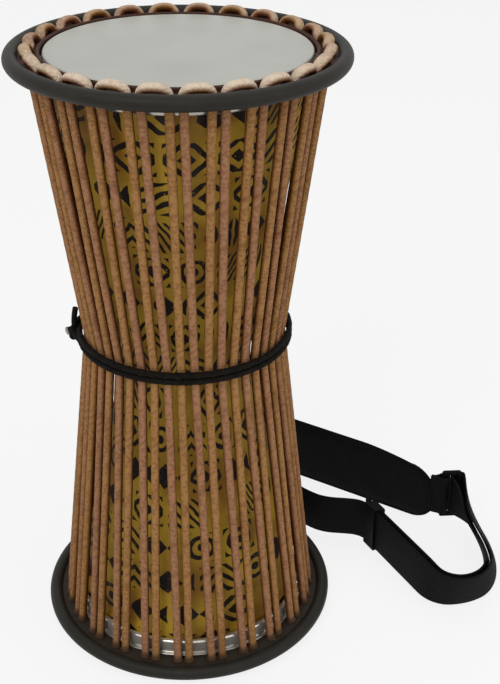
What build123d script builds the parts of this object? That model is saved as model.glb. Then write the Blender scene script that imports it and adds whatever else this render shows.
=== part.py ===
from build123d import *
import math
import os

# Talking drum, in millimetres. The drum's axis is Z, and it stands on its lower bights at z = 0.
# The front is -Y. Bearings run from the front towards +X, seen from above.
# "Depth" is measured from either end plane of the drum towards its middle.

# Overall
HEIGHT = 460.0
FIT = 0.2                      # gap between two static pieces that seat on each other

# Shell
SHELL_EDGE_R = 88.2
SHELL_WAIST_R = 46.5           # where the shell's two cones would meet
SHELL_WAIST_DROP = 6.0         # they meet this far below mid height
SHELL_WAIST_ROUND = 120.0
SHELL_WALL = 6.0
EDGE_BEVEL = 1.0               # takes the corner off the edge that the head bears on

# Heads
HEAD_DEPTH = 5.4
HEAD_THICK = 0.6
COLLAR_LENGTH = 16.0

# Flesh hoops
FLESH_WALL = 2.0
FLESH_LENGTH = 12.2
FLESH_FLANGE = 1.4
FLESH_FLANGE_REACH = 2.8

# Counterhoops
COUNTER_THICK = 3.0
COUNTER_LIP_WIDTH = 2.6
COUNTER_LIP_RISE = 2.8
COUNTER_LIP_CHAMFER = 0.8
COUNTER_HEAD_GAP = 1.8         # between the head's collar and the counterhoop's bore
COUNTER_RIM = 4.75             # from a hole to the counterhoop's outer edge
RABBET = 2.1                   # how far the counterhoop's edge enters the rim ring

# Rim rings
RIM_TUBE_R = 5.25
RIM_SIDES = 12
CUT_PAST = 1.0                 # how far a cutting outline runs past the tube

# Tension cord
CORD_D = 6.2
CORD_SIDES = 8
BIGHTS = 24
PAIR_ANGLE = 5.0               # between the two runs of a close pair
TOP_TURN = 0.5                 # bearing of the first close pair, upper end
BOTTOM_TURN = -1.7             # bearing of the first close pair, lower end
CORD_FLANGE_GAP = 0.9          # from a run to the flesh hoop's flange
CORD_WAIST_R = 71.0
BIGHT_BULGE = 2.2              # how far a bight leans out from its holes
BIGHT_SHOULDER = 0.2           # share of a bight's span in which it leaves its hole
BIGHT_LEG = 0.7                # length of a bight's straight legs, in cord radii
BIGHT_FLAT = 0.3               # pressed off a bight where the drum stands on it
BIGHT_FLOOR_GAP = 1.7          # from a bight to the counterhoop's floor
HOLE_CLEAR = 0.95
CORD_SPLIT = 1.6               # hidden gap between a run and its bight, inside the hole
WAIST_RISE = 17.0              # the waist cord sits this far above mid height
WAIST_SPLIT = 0.8              # hidden gap between upper and lower side runs
BANK_ANGLE = 38.0              # a side bank reaches this far either way of the side

# Waist cord
WAIST_CORD_D = 4.6
WAIST_TURNS_APART = 5.1
WAIST_CORD_CLEAR = 0.35
WAIST_CORD_STEP = 10.0         # degrees between the stations of a turn
KNOT_BEARING = -88.0
KNOT_REACH = 14.0              # degrees kept free each side of the knot
KNOT_CLIMB = 8.0               # half the angle in which one turn climbs to the next
KNOT_DEEP = 6.4
KNOT_STAND = 3.6               # from the winding's middle to the knot's
KNOT_LONG = 10.4
KNOT_TALL = 9.6
TAIL_UP = 17.0
TAIL_LEAN = 1.5                # how far the upper tail leans in towards the runs
TAIL_OUT = 4.6
TAIL_DROP = 0.35               # slope of the tail that points out
TIP_LENGTH = 2.4

# Strap
WEB_WIDTH = 38.0
WEB_THICK = 1.6
PAD_LENGTH = 186.0
PAD_WIDTH = 60.0
PAD_THICK = 6.0
PAD_CORNER_R = 21.0
PAD_BEVEL = 2.2
PAD_BEARING = 123.0            # from the back towards +X
FLOOR_CLEAR = 0.4
TAB_STEM = 8.0                 # from the pad's end to the middle of the ring's first bar
TAB_SEAM = 1.4                 # clears the pad's end where the front tab turns
TAB_TURN = 36.0                # the front tab turns away from the pad by this angle
TAB_CLEAR = 0.6
RING_BAR = 4.0
RING_PITCH = 13.0              # between the middles of a ring's two upright bars
RING_END_CLEAR = 0.9
WRAP_CLEAR = 2.6               # lets the front ring turn in its webbing
WRAP_STEPS = 6
LAYER_PITCH = 5.0
LOW_EDGE = 2.8                 # height of the webbing's lower edge where the keeper runs
KEEPER_WALL = 1.8
KEEPER_LENGTH = 14.0
KEEPER_CLEAR = 0.4
KEEPER_TAIL = 9.0              # the free end stands this far past the straight stretch
ANCHOR_CLEAR = 0.8
ANCHOR_PAST_RIM = 2.4
ANCHOR_PAIR_LOWER = 11         # which close pair of runs carries each anchor loop
ANCHOR_PAIR_UPPER = 12
LOWER_ANCHOR_RISE = 2.0        # from the lower flesh hoop to the loop above it
UPPER_ANCHOR_DROP = 27.0       # from the upper end plane to the loop below it
UPPER_STEM = 10.0              # the upper web is doubled this far past the back ring's bar

# The strap's lie, chosen by hand, from the point of the rim that faces it
LAY_BEARING = 125.0
PAD_FRONT = (122.0, 20.0)
# On the lower anchor's face: how far along it, and how far below its lower edge
ANCHOR_SEAT = [(9.0, 0.0), (-10.0, 0.0), (-26.0, 2.5)]
# X, Y and the height of the lower web's lower edge
LEAD_POINTS = [(-10.2, 23.5, 8.0), (12.8, 7.0, 3.6), (25.8, 2.0, LOW_EDGE), (39.8, 0.5, LOW_EDGE),
               (51.8, -1.5, LOW_EDGE)]
STRAIGHT_TO = (58.8, -7.0, LOW_EDGE)
STRAIGHT_FROM = (98.8, -87.0, LOW_EDGE)
LOOP_POINTS = [(109.8, -99.0, LOW_EDGE), (125.8, -101.0, LOW_EDGE), (141.8, -95.0, LOW_EDGE),
               (152.8, -83.0, LOW_EDGE), (157.8, -66.0, LOW_EDGE), (158.8, -47.0, 3.5),
               (157.0, -28.0, 5.0), (154.3, -9.0, 7.5), (151.5, 6.0, 9.5)]
# Middle of the upper web from the back ring's second bar, its height above the floor,
# and how far its width has turned up from lying flat, in degrees
LIE_POINTS = [(-22.8, 11.9, 25.0, 70), (-36.8, 14.4, 16.5, 45), (-50.8, 14.4, 8.5, 20),
              (-64.8, 12.4, 2.4, 3), (-78.8, 9.4, 3.6, 0), (-90.8, 6.4, 9.5, 0),
              (-98.8, 3.4, 20.0, 0), (-101.8, -1.6, 34.0, 0), (-100.8, -7.6, 56.0, 0)]
HANG_STEPS = 6
HANG_CURVE = 1.35              # above 1, the upper web leaves its anchor more steeply

# Worked out from the sizes above
CORD_R = CORD_D / 2
HALF_FACET = 180.0 / CORD_SIDES
WAIST_CORD_R = WAIST_CORD_D / 2
PITCH = 360.0 / BIGHTS
WAIST_Z = HEIGHT / 2 + WAIST_RISE
FLOOR_DEPTH = CORD_D - BIGHT_FLAT + BIGHT_FLOOR_GAP
COUNTER_DEPTH = FLOOR_DEPTH + COUNTER_THICK
EDGE_DEPTH = HEAD_DEPTH + HEAD_THICK + FIT
FLESH_DEPTH = COUNTER_DEPTH + FIT
LEG_DEPTH = FLOOR_DEPTH + (COUNTER_THICK - CORD_SPLIT) / 2
RUN_DEPTH = LEG_DEPTH + CORD_SPLIT
RIM_DEPTH = FLOOR_DEPTH + COUNTER_THICK / 2
LOWER_ANCHOR_Z = FLESH_DEPTH + FLESH_LENGTH + LOWER_ANCHOR_RISE
UPPER_ANCHOR_Z = HEIGHT - UPPER_ANCHOR_DROP - WEB_WIDTH
# Radii, from the shell's edge outwards
COLLAR_OUTER_R = SHELL_EDGE_R + FIT + HEAD_THICK
FLESH_INNER_R = COLLAR_OUTER_R + FIT
FLANGE_R = FLESH_INNER_R + FLESH_WALL + FLESH_FLANGE_REACH
COUNTER_INNER_R = COLLAR_OUTER_R + COUNTER_HEAD_GAP
CORD_RIM_R = FLANGE_R + CORD_FLANGE_GAP + CORD_R
COUNTER_OUTER_R = CORD_RIM_R + CORD_R + HOLE_CLEAR + COUNTER_RIM
RIM_CENTRE_R = COUNTER_OUTER_R - RABBET + math.sqrt(RIM_TUBE_R ** 2 - (FLOOR_DEPTH - RIM_DEPTH) ** 2)
RIM_OUTER_R = RIM_CENTRE_R + RIM_TUBE_R
RUN_SLOPE = (CORD_RIM_R - CORD_WAIST_R) / (HEIGHT - RUN_DEPTH - WAIST_Z)
WAIST_CORD_TURN_R = (CORD_WAIST_R + CORD_R + RUN_SLOPE * WAIST_TURNS_APART / 2
                     + WAIST_CORD_CLEAR + WAIST_CORD_R)


UP = Vector(0, 0, 1)


def on_bearing(radius, bearing, z):
    """A point at a bearing, in degrees from the front towards +X."""
    turn = math.radians(bearing)
    return Vector(radius * math.sin(turn), -radius * math.cos(turn), z)


def at_depth(depth, top):
    """Height of a depth below the upper end plane, or above the lower one."""
    return HEIGHT - depth if top else depth


def ring_of(profile, top):
    """Revolve a closed outline of (radius, depth) points about the drum's axis."""
    points = [(radius, at_depth(depth, top)) for radius, depth in profile]
    with BuildPart() as ring:
        with BuildSketch(Plane.XZ):
            with BuildLine():
                Polyline(*points, close=True)
            make_face()
        revolve(axis=Axis.Z)
    return ring.part


def stations(points):
    """Each point of a route with the direction of travel there."""
    result = []
    for index, point in enumerate(points):
        before = points[max(index - 1, 0)]
        after = points[min(index + 1, len(points) - 1)]
        arriving = (point - before).normalized() if index > 0 else Vector(0, 0, 0)
        leaving = (after - point).normalized() if index < len(points) - 1 else Vector(0, 0, 0)
        result.append((point, (arriving + leaving).normalized()))
    return result


def across(direction, travel):
    """The part of a direction that is square to the travel."""
    return (direction - travel * direction.dot(travel)).normalized()


def faceted_tube(points, radius, sides, outward):
    """A tube of flat facets along a route, mitred at its corners; outward turns its first facet."""
    travel = (points[1] - points[0]).normalized()
    start = Plane(origin=points[0], x_dir=across(outward, travel), z_dir=travel)
    return sweep(start * RegularPolygon(radius, sides), path=Polyline(*points), transition=Transition.RIGHT)


def ribbon(points, widths):
    """A flat web along a route; widths gives the direction of its width at each point."""
    sections = []
    for (point, travel), width in zip(stations(points), widths):
        plane = Plane(origin=point, x_dir=across(width, travel), z_dir=travel)
        sections.append(plane * Rectangle(WEB_WIDTH, WEB_THICK))
    return loft([section.face() for section in sections], ruled=True)


def save(node, *solids):
    """Write one node as its own STEP file."""
    shape = solids[0] if len(solids) == 1 else Compound(children=list(solids))
    export_step(shape, f"parts/{node}.step")


# Shell: an hourglass wall of two cones with a rounded waist
def make_shell():
    edge = at_depth(EDGE_DEPTH, False)
    brim = at_depth(EDGE_DEPTH, True)
    waist = HEIGHT / 2 - SHELL_WAIST_DROP
    bore = SHELL_EDGE_R - SHELL_WALL
    outer_low = (SHELL_EDGE_R, edge + EDGE_BEVEL)
    outer_high = (SHELL_EDGE_R, brim - EDGE_BEVEL)
    with BuildPart() as shell:
        with BuildSketch(Plane.XZ):
            with BuildLine():
                FilletPolyline(outer_low, (SHELL_WAIST_R, waist), outer_high, radius=SHELL_WAIST_ROUND)
                Polyline(outer_high, (SHELL_EDGE_R - EDGE_BEVEL, brim), (bore, brim))
                FilletPolyline((bore, brim), (SHELL_WAIST_R - SHELL_WALL, waist), (bore, edge),
                               radius=SHELL_WAIST_ROUND + SHELL_WALL)
                Polyline((bore, edge), (SHELL_EDGE_R - EDGE_BEVEL, edge), outer_low)
            make_face()
        revolve(axis=Axis.Z)
    return shell.part


# Heads: a flat film whose edge turns over into a collar
def make_head(top):
    corner = COLLAR_OUTER_R - SHELL_EDGE_R + HEAD_THICK
    under = HEAD_DEPTH + HEAD_THICK
    collar_end = HEAD_DEPTH + COLLAR_LENGTH
    return ring_of([
        (0, HEAD_DEPTH), (COLLAR_OUTER_R - corner, HEAD_DEPTH), (COLLAR_OUTER_R, HEAD_DEPTH + corner),
        (COLLAR_OUTER_R, collar_end), (COLLAR_OUTER_R - HEAD_THICK, collar_end),
        (COLLAR_OUTER_R - HEAD_THICK, under + corner / 2), (COLLAR_OUTER_R - corner, under), (0, under),
    ], top)


# Flesh hoops: a rolled wall with a flange that the counterhoop bears on
def make_flesh_hoop(top):
    wall = FLESH_INNER_R + FLESH_WALL
    under = FLESH_DEPTH + FLESH_FLANGE
    end = FLESH_DEPTH + FLESH_LENGTH
    return ring_of([
        (FLESH_INNER_R, FLESH_DEPTH), (FLANGE_R, FLESH_DEPTH), (FLANGE_R, under),
        (wall, under), (wall, end), (FLESH_INNER_R, end),
    ], top)


# Counterhoops: a floor with an inner lip, and one hole for each run
def make_counterhoop(top):
    lip = COUNTER_INNER_R + COUNTER_LIP_WIDTH
    lip_top = FLOOR_DEPTH - COUNTER_LIP_RISE
    bevel = COUNTER_LIP_CHAMFER
    hoop = ring_of([
        (COUNTER_INNER_R, lip_top + bevel), (COUNTER_INNER_R + bevel, lip_top), (lip - bevel, lip_top),
        (lip, lip_top + bevel), (lip, FLOOR_DEPTH), (COUNTER_OUTER_R, FLOOR_DEPTH),
        (COUNTER_OUTER_R, COUNTER_DEPTH), (COUNTER_INNER_R, COUNTER_DEPTH),
    ], top)
    outline = RegularPolygon(CORD_R + HOLE_CLEAR, CORD_SIDES, rotation=HALF_FACET)
    middle = at_depth((FLOOR_DEPTH + COUNTER_DEPTH) / 2, top)
    holes = []
    for pair in range(BIGHTS):
        for second in (False, True):
            bearing = run_bearings(pair, second)[0 if top else 2]
            plane = Plane(origin=on_bearing(CORD_RIM_R, bearing, middle), x_dir=on_bearing(1, bearing, 0),
                          z_dir=UP)
            holes.append(extrude(plane * outline, COUNTER_THICK, both=True))
    return hoop - holes


# Rim rings: a soft tube, slit along its inside to sit over the counterhoop's edge
def make_rim_ring(top):
    edge = COUNTER_OUTER_R + FIT
    slit_from = at_depth(FLOOR_DEPTH - FIT, top)
    slit_to = at_depth(COUNTER_DEPTH + FIT, top)
    inner = RIM_CENTRE_R - RIM_TUBE_R - CUT_PAST
    with BuildPart() as ring:
        with BuildSketch(Plane.XZ):
            with Locations((RIM_CENTRE_R, at_depth(RIM_DEPTH, top))):
                RegularPolygon(RIM_TUBE_R, RIM_SIDES)
            with BuildLine():
                Polyline((inner, slit_from), (edge, slit_from), (edge, slit_to), (inner, slit_to),
                         close=True)
            make_face(mode=Mode.SUBTRACT)
        revolve(axis=Axis.Z)
    return ring.part


# Tension cord: one zigzag, whose runs are numbered by the close pair that they leave at the upper end
def run_bearings(pair, second):
    """Bearings of a run at the upper rim, the waist and the lower rim."""
    half = PAIR_ANGLE / 2
    upper = PITCH * pair + TOP_TURN + (half if second else -half)
    lower = PITCH * pair + BOTTOM_TURN + (PITCH - half if second else half)
    return upper, (upper + lower) / 2, lower


def make_run(pair, second, split):
    """One run, whole, or as an upper and a lower piece that part at the waist."""
    upper, waist, lower = run_bearings(pair, second)
    head = on_bearing(CORD_RIM_R, upper, at_depth(RUN_DEPTH, True))
    bend = on_bearing(CORD_WAIST_R, waist, WAIST_Z)
    foot = on_bearing(CORD_RIM_R, lower, at_depth(RUN_DEPTH, False))
    outward = on_bearing(1, waist, 0)
    if not split:
        return [faceted_tube([head, bend, foot], CORD_R, CORD_SIDES, outward)]
    rise = Vector(0, 0, WAIST_SPLIT / 2)
    return [faceted_tube([head, bend + rise], CORD_R, CORD_SIDES, outward),
            faceted_tube([bend - rise, foot], CORD_R, CORD_SIDES, outward)]


def make_bight(first, second, top):
    """The cord over one counterhoop, from one hole to the next."""
    middle = (first + second) / 2
    shoulder = (second - first) * BIGHT_SHOULDER
    lie = CORD_R - BIGHT_FLAT
    bend = LEG_DEPTH - CORD_R * BIGHT_LEG
    route = [
        (first, 0, LEG_DEPTH), (first, 0, bend), (first + shoulder, BIGHT_BULGE, lie),
        (second - shoulder, BIGHT_BULGE, lie), (second, 0, bend), (second, 0, LEG_DEPTH),
    ]
    points = [on_bearing(CORD_RIM_R + out, bearing, at_depth(depth, top))
              for bearing, out, depth in route]
    cord = faceted_tube(points, CORD_R, CORD_SIDES, on_bearing(1, middle + HALF_FACET, 0))
    end_plane = Plane.XY.offset(at_depth(0, top))
    return split(cord, bisect_by=end_plane, keep=Keep.BOTTOM if top else Keep.TOP)


def bank_of(waist_bearing):
    """Which bank a run belongs to, from its bearing at the waist."""
    turn = (waist_bearing + 180) % 360 - 180
    if abs(turn - 90) < BANK_ANGLE:
        return "right"
    if abs(turn + 90) < BANK_ANGLE:
        return "left"
    return "front" if abs(turn) < 90 else "back"


def make_cords():
    """All runs, sorted into their banks, and the bights of both ends."""
    names = ("front", "back", "left_upper", "left_lower", "right_upper", "right_lower")
    banks = {name: [] for name in names}
    bights = {True: [], False: []}
    for pair in range(BIGHTS):
        for second in (False, True):
            bank = bank_of(run_bearings(pair, second)[1])
            if bank in banks:
                banks[bank] += make_run(pair, second, False)
            else:
                upper, lower = make_run(pair, second, True)
                banks[bank + "_upper"].append(upper)
                banks[bank + "_lower"].append(lower)
        leaves = run_bearings(pair, True)[0]
        returns = run_bearings(pair + 1, False)[0]
        bights[True].append(make_bight(leaves, returns, True))
        bights[False].append(make_bight(run_bearings(pair, False)[2], run_bearings(pair, True)[2], False))
    return banks, bights


# Waist cord: two turns round the runs, which cross under the knot
def turn_height(angle):
    """Height of the winding above the waist; it climbs only under the knot."""
    share = (angle - 360 + KNOT_CLIMB) / (2 * KNOT_CLIMB)
    share = min(max(share, 0), 1)
    return WAIST_TURNS_APART * (share - 0.5)


def winding_angles():
    """Stations of the winding, closer together where it climbs."""
    steps = round((360 - KNOT_REACH - KNOT_CLIMB) / WAIST_CORD_STEP)
    span = (360 - KNOT_REACH - KNOT_CLIMB) / steps
    first = [KNOT_REACH + span * index for index in range(steps + 1)]
    climb = [360 - KNOT_CLIMB / 2, 360, 360 + KNOT_CLIMB / 2]
    second = [720 - angle for angle in reversed(first)]
    return first + climb + second


def winding_point(angle):
    return on_bearing(WAIST_CORD_TURN_R, KNOT_BEARING + angle, WAIST_Z + turn_height(angle))


def least_turn_gap():
    """Least clear distance between the first and second turn, measured on points."""
    angles = [KNOT_REACH + index for index in range(int(720 - 2 * KNOT_REACH) + 1)]
    first = [winding_point(angle) for angle in angles if angle <= 360 - KNOT_REACH]
    second = [winding_point(angle) for angle in angles if angle >= 360 + KNOT_REACH]
    return min((one - other).length for one in first for other in second) - WAIST_CORD_D


def make_waist_cord():
    knot_r = WAIST_CORD_TURN_R + KNOT_STAND
    aside = math.degrees(KNOT_LONG / 3 / knot_r)
    low = on_bearing(knot_r, KNOT_BEARING + aside, WAIST_Z - WAIST_TURNS_APART / 2)
    high = on_bearing(knot_r, KNOT_BEARING - aside, WAIST_Z + WAIST_TURNS_APART / 2)
    route = [low] + [winding_point(angle) for angle in winding_angles()] + [high]
    winding = faceted_tube(route, WAIST_CORD_R, CORD_SIDES, Vector(0, 0, 1))
    facing = on_bearing(1, KNOT_BEARING, 0)
    heart = on_bearing(knot_r, KNOT_BEARING, WAIST_Z)
    lump = Box(KNOT_DEEP, KNOT_LONG, KNOT_TALL)
    knot = Plane(origin=heart, x_dir=facing, z_dir=(0, 0, 1)) * chamfer(lump.edges(), KNOT_DEEP / 4)
    along = Vector(-facing.Y, facing.X, 0)
    up_end = heart + Vector(0, 0, TAIL_UP) - facing * TAIL_LEAN
    up_half = heart + Vector(0, 0, TAIL_UP / 2)
    tail_up = faceted_tube([heart, up_half, up_end], WAIST_CORD_R, CORD_SIDES, along)
    out_way = (facing - Vector(0, 0, TAIL_DROP)).normalized()
    out_end = heart + out_way * TAIL_OUT
    tail_out = faceted_tube([heart, out_end], WAIST_CORD_R, CORD_SIDES, along)
    tip = faceted_tube([out_end, out_end + out_way * TIP_LENGTH], WAIST_CORD_R, CORD_SIDES, along)
    return winding + knot + tail_up + tail_out, tip


# Strap: a pad with a ring at each end, and webbing that ties it to the cords
LAY_FROM = on_bearing(RIM_OUTER_R, LAY_BEARING, 0)
PAD_WAY = Vector(math.sin(math.radians(PAD_BEARING)), math.cos(math.radians(PAD_BEARING)), 0)
PAD_END = LAY_FROM + Vector(*PAD_FRONT, 0)
PAD_START = PAD_END - PAD_WAY * PAD_LENGTH
RING_Z = FLOOR_CLEAR + PAD_WIDTH / 2
FRONT_WAY = PAD_WAY.rotate(Axis.Z, TAB_TURN)
BACK_WAY = -PAD_WAY
BAR_CORNER = RING_BAR / math.sqrt(2)


def make_pad():
    middle = PAD_START + PAD_WAY * (PAD_LENGTH / 2) + UP * RING_Z
    side = Plane(origin=middle, x_dir=PAD_WAY, z_dir=PAD_WAY.cross(UP))
    pad = extrude(side * RectangleRounded(PAD_LENGTH, PAD_WIDTH, PAD_CORNER_R), PAD_THICK / 2, both=True)
    faces = pad.faces().sort_by(Axis(middle, PAD_WAY.cross(UP)))
    return chamfer(faces[0].edges() + faces[-1].edges(), PAD_BEVEL)


def bar_place(pad_end, way, number):
    """The middle of a ring's first or second upright bar, on the floor."""
    return pad_end + way * (TAB_STEM + RING_PITCH * number)


def fold(place, way, stem):
    """Webbing folded round an upright bar, with a doubled stem back along the way."""
    inner = BAR_CORNER + TAB_CLEAR
    plane = Plane(origin=place + UP * (RING_Z - WEB_WIDTH / 2), x_dir=way, z_dir=UP)
    outline = Circle(inner + WEB_THICK) + Pos(-stem / 2, 0) * Rectangle(stem, 2 * WEB_THICK) - Circle(inner)
    return extrude(plane * outline, WEB_WIDTH)


def make_tab(pad_end, way):
    """A fold round a ring's first bar, sewn into the pad's end."""
    return fold(bar_place(pad_end, way, 0), way, TAB_STEM - TAB_SEAM)


def make_ring(pad_end, way):
    """A rectangular ring: two upright bars and two short ends."""
    window_height = WEB_WIDTH + 2 * RING_END_CLEAR
    plane = Plane(origin=bar_place(pad_end, way, 0.5) + UP * RING_Z, x_dir=way, z_dir=UP)
    body = Box(RING_PITCH + RING_BAR, RING_BAR, window_height + 2 * RING_BAR)
    body = fillet(body.edges().filter_by(Axis.Y), RING_BAR / 2)
    return plane * (body - Box(RING_PITCH - RING_BAR, 2 * RING_BAR, window_height))


def run_point(pair, second, z):
    """The middle of a run at a height."""
    upper, waist, lower = run_bearings(pair, second)
    top = z > WAIST_Z
    rim = on_bearing(CORD_RIM_R, upper if top else lower, at_depth(RUN_DEPTH, top))
    bend = on_bearing(CORD_WAIST_R, waist, WAIST_Z)
    return bend + (rim - bend) * ((z - WAIST_Z) / (rim.Z - WAIST_Z))


def make_anchor(runs, low, reach):
    """A web loop round a close pair of runs, out to a radius; with the plane of its outer face."""
    heights = (low, low + WEB_WIDTH)
    ends = [run_point(*run, z) for run in runs for z in heights]
    heart = sum(ends, Vector(0, 0, 0)) / len(ends)
    facing = Vector(heart.X, heart.Y, 0).normalized()
    beside = UP.cross(facing)
    clear = CORD_R + ANCHOR_CLEAR
    near = min(end.dot(facing) for end in ends) - clear
    far = reach if reach else max(end.dot(facing) for end in ends) + clear
    half = max(abs(end.dot(beside)) for end in ends) + clear
    plane = Plane(origin=UP * low, x_dir=facing, z_dir=UP)
    hole = Pos((near + far) / 2, 0) * RectangleRounded(far - near, 2 * half, clear)
    band = offset(hole, WEB_THICK) - hole
    outer = Plane(origin=facing * (far + WEB_THICK) + UP * low, x_dir=beside, z_dir=facing)
    return extrude(plane * band, WEB_WIDTH), outer


def lower_anchor():
    runs = [(ANCHOR_PAIR_LOWER, False), (ANCHOR_PAIR_LOWER - 1, True)]
    return make_anchor(runs, LOWER_ANCHOR_Z, RIM_OUTER_R + ANCHOR_PAST_RIM)


def upper_anchor():
    """The upper loop, with its two ends sewn together into a tab."""
    runs = [(ANCHOR_PAIR_UPPER, False), (ANCHOR_PAIR_UPPER, True)]
    loop, outer = make_anchor(runs, UPPER_ANCHOR_Z, None)
    tab = extrude(outer * (Pos(0, WEB_WIDTH / 2) * Rectangle(2 * WEB_THICK, WEB_WIDTH)), WEB_WIDTH)
    return loop + tab, outer


def lower_web():
    """The strap's long web, from the lower anchor through the front ring and back to its free end."""
    lift = UP * (WEB_WIDTH / 2)
    outer_face = lower_anchor()[1]
    seat = outer_face.origin + lift + outer_face.z_dir * (WEB_THICK / 2 + FIT)
    start = [seat + outer_face.x_dir * step - UP * drop for step, drop in ANCHOR_SEAT]
    lead = [LAY_FROM + Vector(*point) + lift for point in LEAD_POINTS]
    straight = [LAY_FROM + Vector(*point) + lift for point in (STRAIGHT_TO, STRAIGHT_FROM)]
    loop = [LAY_FROM + Vector(*point) + lift for point in LOOP_POINTS]
    outer = start + lead + straight + loop
    centre = bar_place(PAD_END, FRONT_WAY, 1) + UP * RING_Z
    leave = loop[-1] - centre
    leave = Vector(leave.X, leave.Y, 0).normalized()
    wrap_r = BAR_CORNER + WRAP_CLEAR + WEB_THICK / 2
    wrap = [centre + leave.rotate(Axis.Z, 90 + 180 * index / WRAP_STEPS) * wrap_r
            for index in range(WRAP_STEPS + 1)]
    inner = [point + UP.cross(travel).normalized() * LAYER_PITCH
             for point, travel in stations(straight + loop)]
    way = (straight[1] - straight[0]).normalized()
    inner[0] = straight[0] + UP.cross(way) * LAYER_PITCH - way * KEEPER_TAIL
    route = outer + wrap + inner[::-1]
    return ribbon(route, [UP] * len(route))


def keeper_plane():
    """The middle of the keeper, with X along its slide."""
    way = (Vector(*STRAIGHT_FROM) - Vector(*STRAIGHT_TO)).normalized()
    middle = LAY_FROM + Vector(*STRAIGHT_TO) + UP * (WEB_WIDTH / 2)
    middle = middle + UP.cross(way) * (LAYER_PITCH / 2) + way * (KEEPER_LENGTH / 2 + KEEPER_WALL)
    return Plane(origin=middle, x_dir=way, z_dir=UP)


def make_keeper():
    """A moulded loop round both layers of the lower web."""
    across_web = LAYER_PITCH + WEB_THICK + 2 * KEEPER_CLEAR
    height = WEB_WIDTH + 2 * KEEPER_CLEAR
    body = Box(KEEPER_LENGTH, across_web + 2 * KEEPER_WALL, height + 2 * KEEPER_WALL)
    body = fillet(body.edges().filter_by(Axis.X), KEEPER_WALL)
    return keeper_plane() * (body - Box(2 * KEEPER_LENGTH, across_web, height))


def upper_web():
    """The web that hangs down the back from the upper anchor and turns on edge into the back ring."""
    outer = upper_anchor()[1]
    beside = WEB_THICK + FIT + WEB_THICK / 2
    seat = outer.origin + outer.z_dir * (WEB_WIDTH / 2 + FIT) + outer.x_dir * beside
    bar = bar_place(PAD_START, BACK_WAY, 1)
    folded = fold(bar, -BACK_WAY, UPPER_STEM)
    route = [bar + BACK_WAY * out + UP * RING_Z for out in (UPPER_STEM - WEB_THICK, UPPER_STEM)]
    widths = [UP, UP]
    for x, y, z, twist in LIE_POINTS:
        route.append(bar + Vector(x, y, z))
        widths.append(Vector(0, math.cos(math.radians(twist)), math.sin(math.radians(twist))))
    foot = route[-1]
    hook = seat - UP * WEB_WIDTH / 4
    for index in range(HANG_STEPS - 1, -1, -1):
        share = index / HANG_STEPS
        drift = (foot - hook) * share ** HANG_CURVE
        route.append(Vector(hook.X + drift.X, hook.Y + drift.Y, hook.Z + (foot.Z - hook.Z) * share))
        widths.append(outer.z_dir)
    route.append(seat + UP * (WEB_WIDTH - FIT))
    widths.append(outer.z_dir)
    return folded + ribbon(route, widths)


def main():
    os.makedirs("parts", exist_ok=True)
    save("shell", make_shell())
    for name, top in (("top", True), ("bottom", False)):
        save(name + "_head", make_head(top))
        save(name + "_flesh_hoop", make_flesh_hoop(top))
        save(name + "_counterhoop", make_counterhoop(top))
        save(name + "_rim_ring", make_rim_ring(top))
    banks, bights = make_cords()
    for name, runs in banks.items():
        save(name + "_cords", *runs)
    save("top_bights", *bights[True])
    save("bottom_bights", *bights[False])
    cord, tip = make_waist_cord()
    save("waist_cord", cord)
    save("cord_tip", tip)
    print("least gap between the waist cord's turns", round(least_turn_gap(), 2))
    save("strap_pad", make_pad())
    for name, end, way in (("front", PAD_END, FRONT_WAY), ("back", PAD_START, BACK_WAY)):
        save(name + "_tab", make_tab(end, way))
        save(name + "_ring", make_ring(end, way))
    save("lower_webbing", lower_web())
    save("webbing_keeper", make_keeper())
    save("upper_webbing", upper_web())
    save("lower_anchor", lower_anchor()[0])
    save("upper_anchor", upper_anchor()[0])


main()
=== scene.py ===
import math

import bmesh
import bpy
from bpy.props import FloatProperty, FloatVectorProperty, IntProperty, PointerProperty
from mathutils import Matrix, Vector
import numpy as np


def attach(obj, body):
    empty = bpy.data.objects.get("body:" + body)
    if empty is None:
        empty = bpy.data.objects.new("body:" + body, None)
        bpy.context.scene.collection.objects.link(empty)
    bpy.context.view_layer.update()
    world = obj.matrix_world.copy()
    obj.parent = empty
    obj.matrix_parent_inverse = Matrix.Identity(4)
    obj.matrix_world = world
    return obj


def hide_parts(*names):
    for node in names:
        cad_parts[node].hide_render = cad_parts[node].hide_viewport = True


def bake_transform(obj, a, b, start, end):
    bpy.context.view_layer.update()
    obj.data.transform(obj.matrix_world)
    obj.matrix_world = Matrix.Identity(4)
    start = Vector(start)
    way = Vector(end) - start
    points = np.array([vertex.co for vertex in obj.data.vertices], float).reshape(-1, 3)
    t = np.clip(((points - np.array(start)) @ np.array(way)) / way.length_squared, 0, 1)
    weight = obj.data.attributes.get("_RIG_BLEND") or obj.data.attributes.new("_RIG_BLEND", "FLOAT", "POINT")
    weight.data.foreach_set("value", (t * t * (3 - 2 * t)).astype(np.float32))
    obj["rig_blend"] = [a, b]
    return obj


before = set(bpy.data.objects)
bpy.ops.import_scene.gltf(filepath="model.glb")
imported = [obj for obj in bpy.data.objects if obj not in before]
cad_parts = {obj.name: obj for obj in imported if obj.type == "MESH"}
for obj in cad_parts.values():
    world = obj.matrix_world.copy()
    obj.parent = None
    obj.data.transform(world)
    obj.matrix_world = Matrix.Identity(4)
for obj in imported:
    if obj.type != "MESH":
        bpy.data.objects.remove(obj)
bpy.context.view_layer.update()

bl_info = {
    "name": "Talking drum",
    "version": (1, 0, 0),
    "blender": (4, 5, 0),
    "location": "3D View > Sidebar > Drum",
    "description": "Dresses the packed talking drum: shell, heads, lacing, waist cord and strap",
    "category": "Object",
}

MM = 0.001
UP = Vector((0, 0, 1))
ENDS = (("top", True), ("bottom", False))
SMOOTH_ANGLE = math.radians(50)

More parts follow.
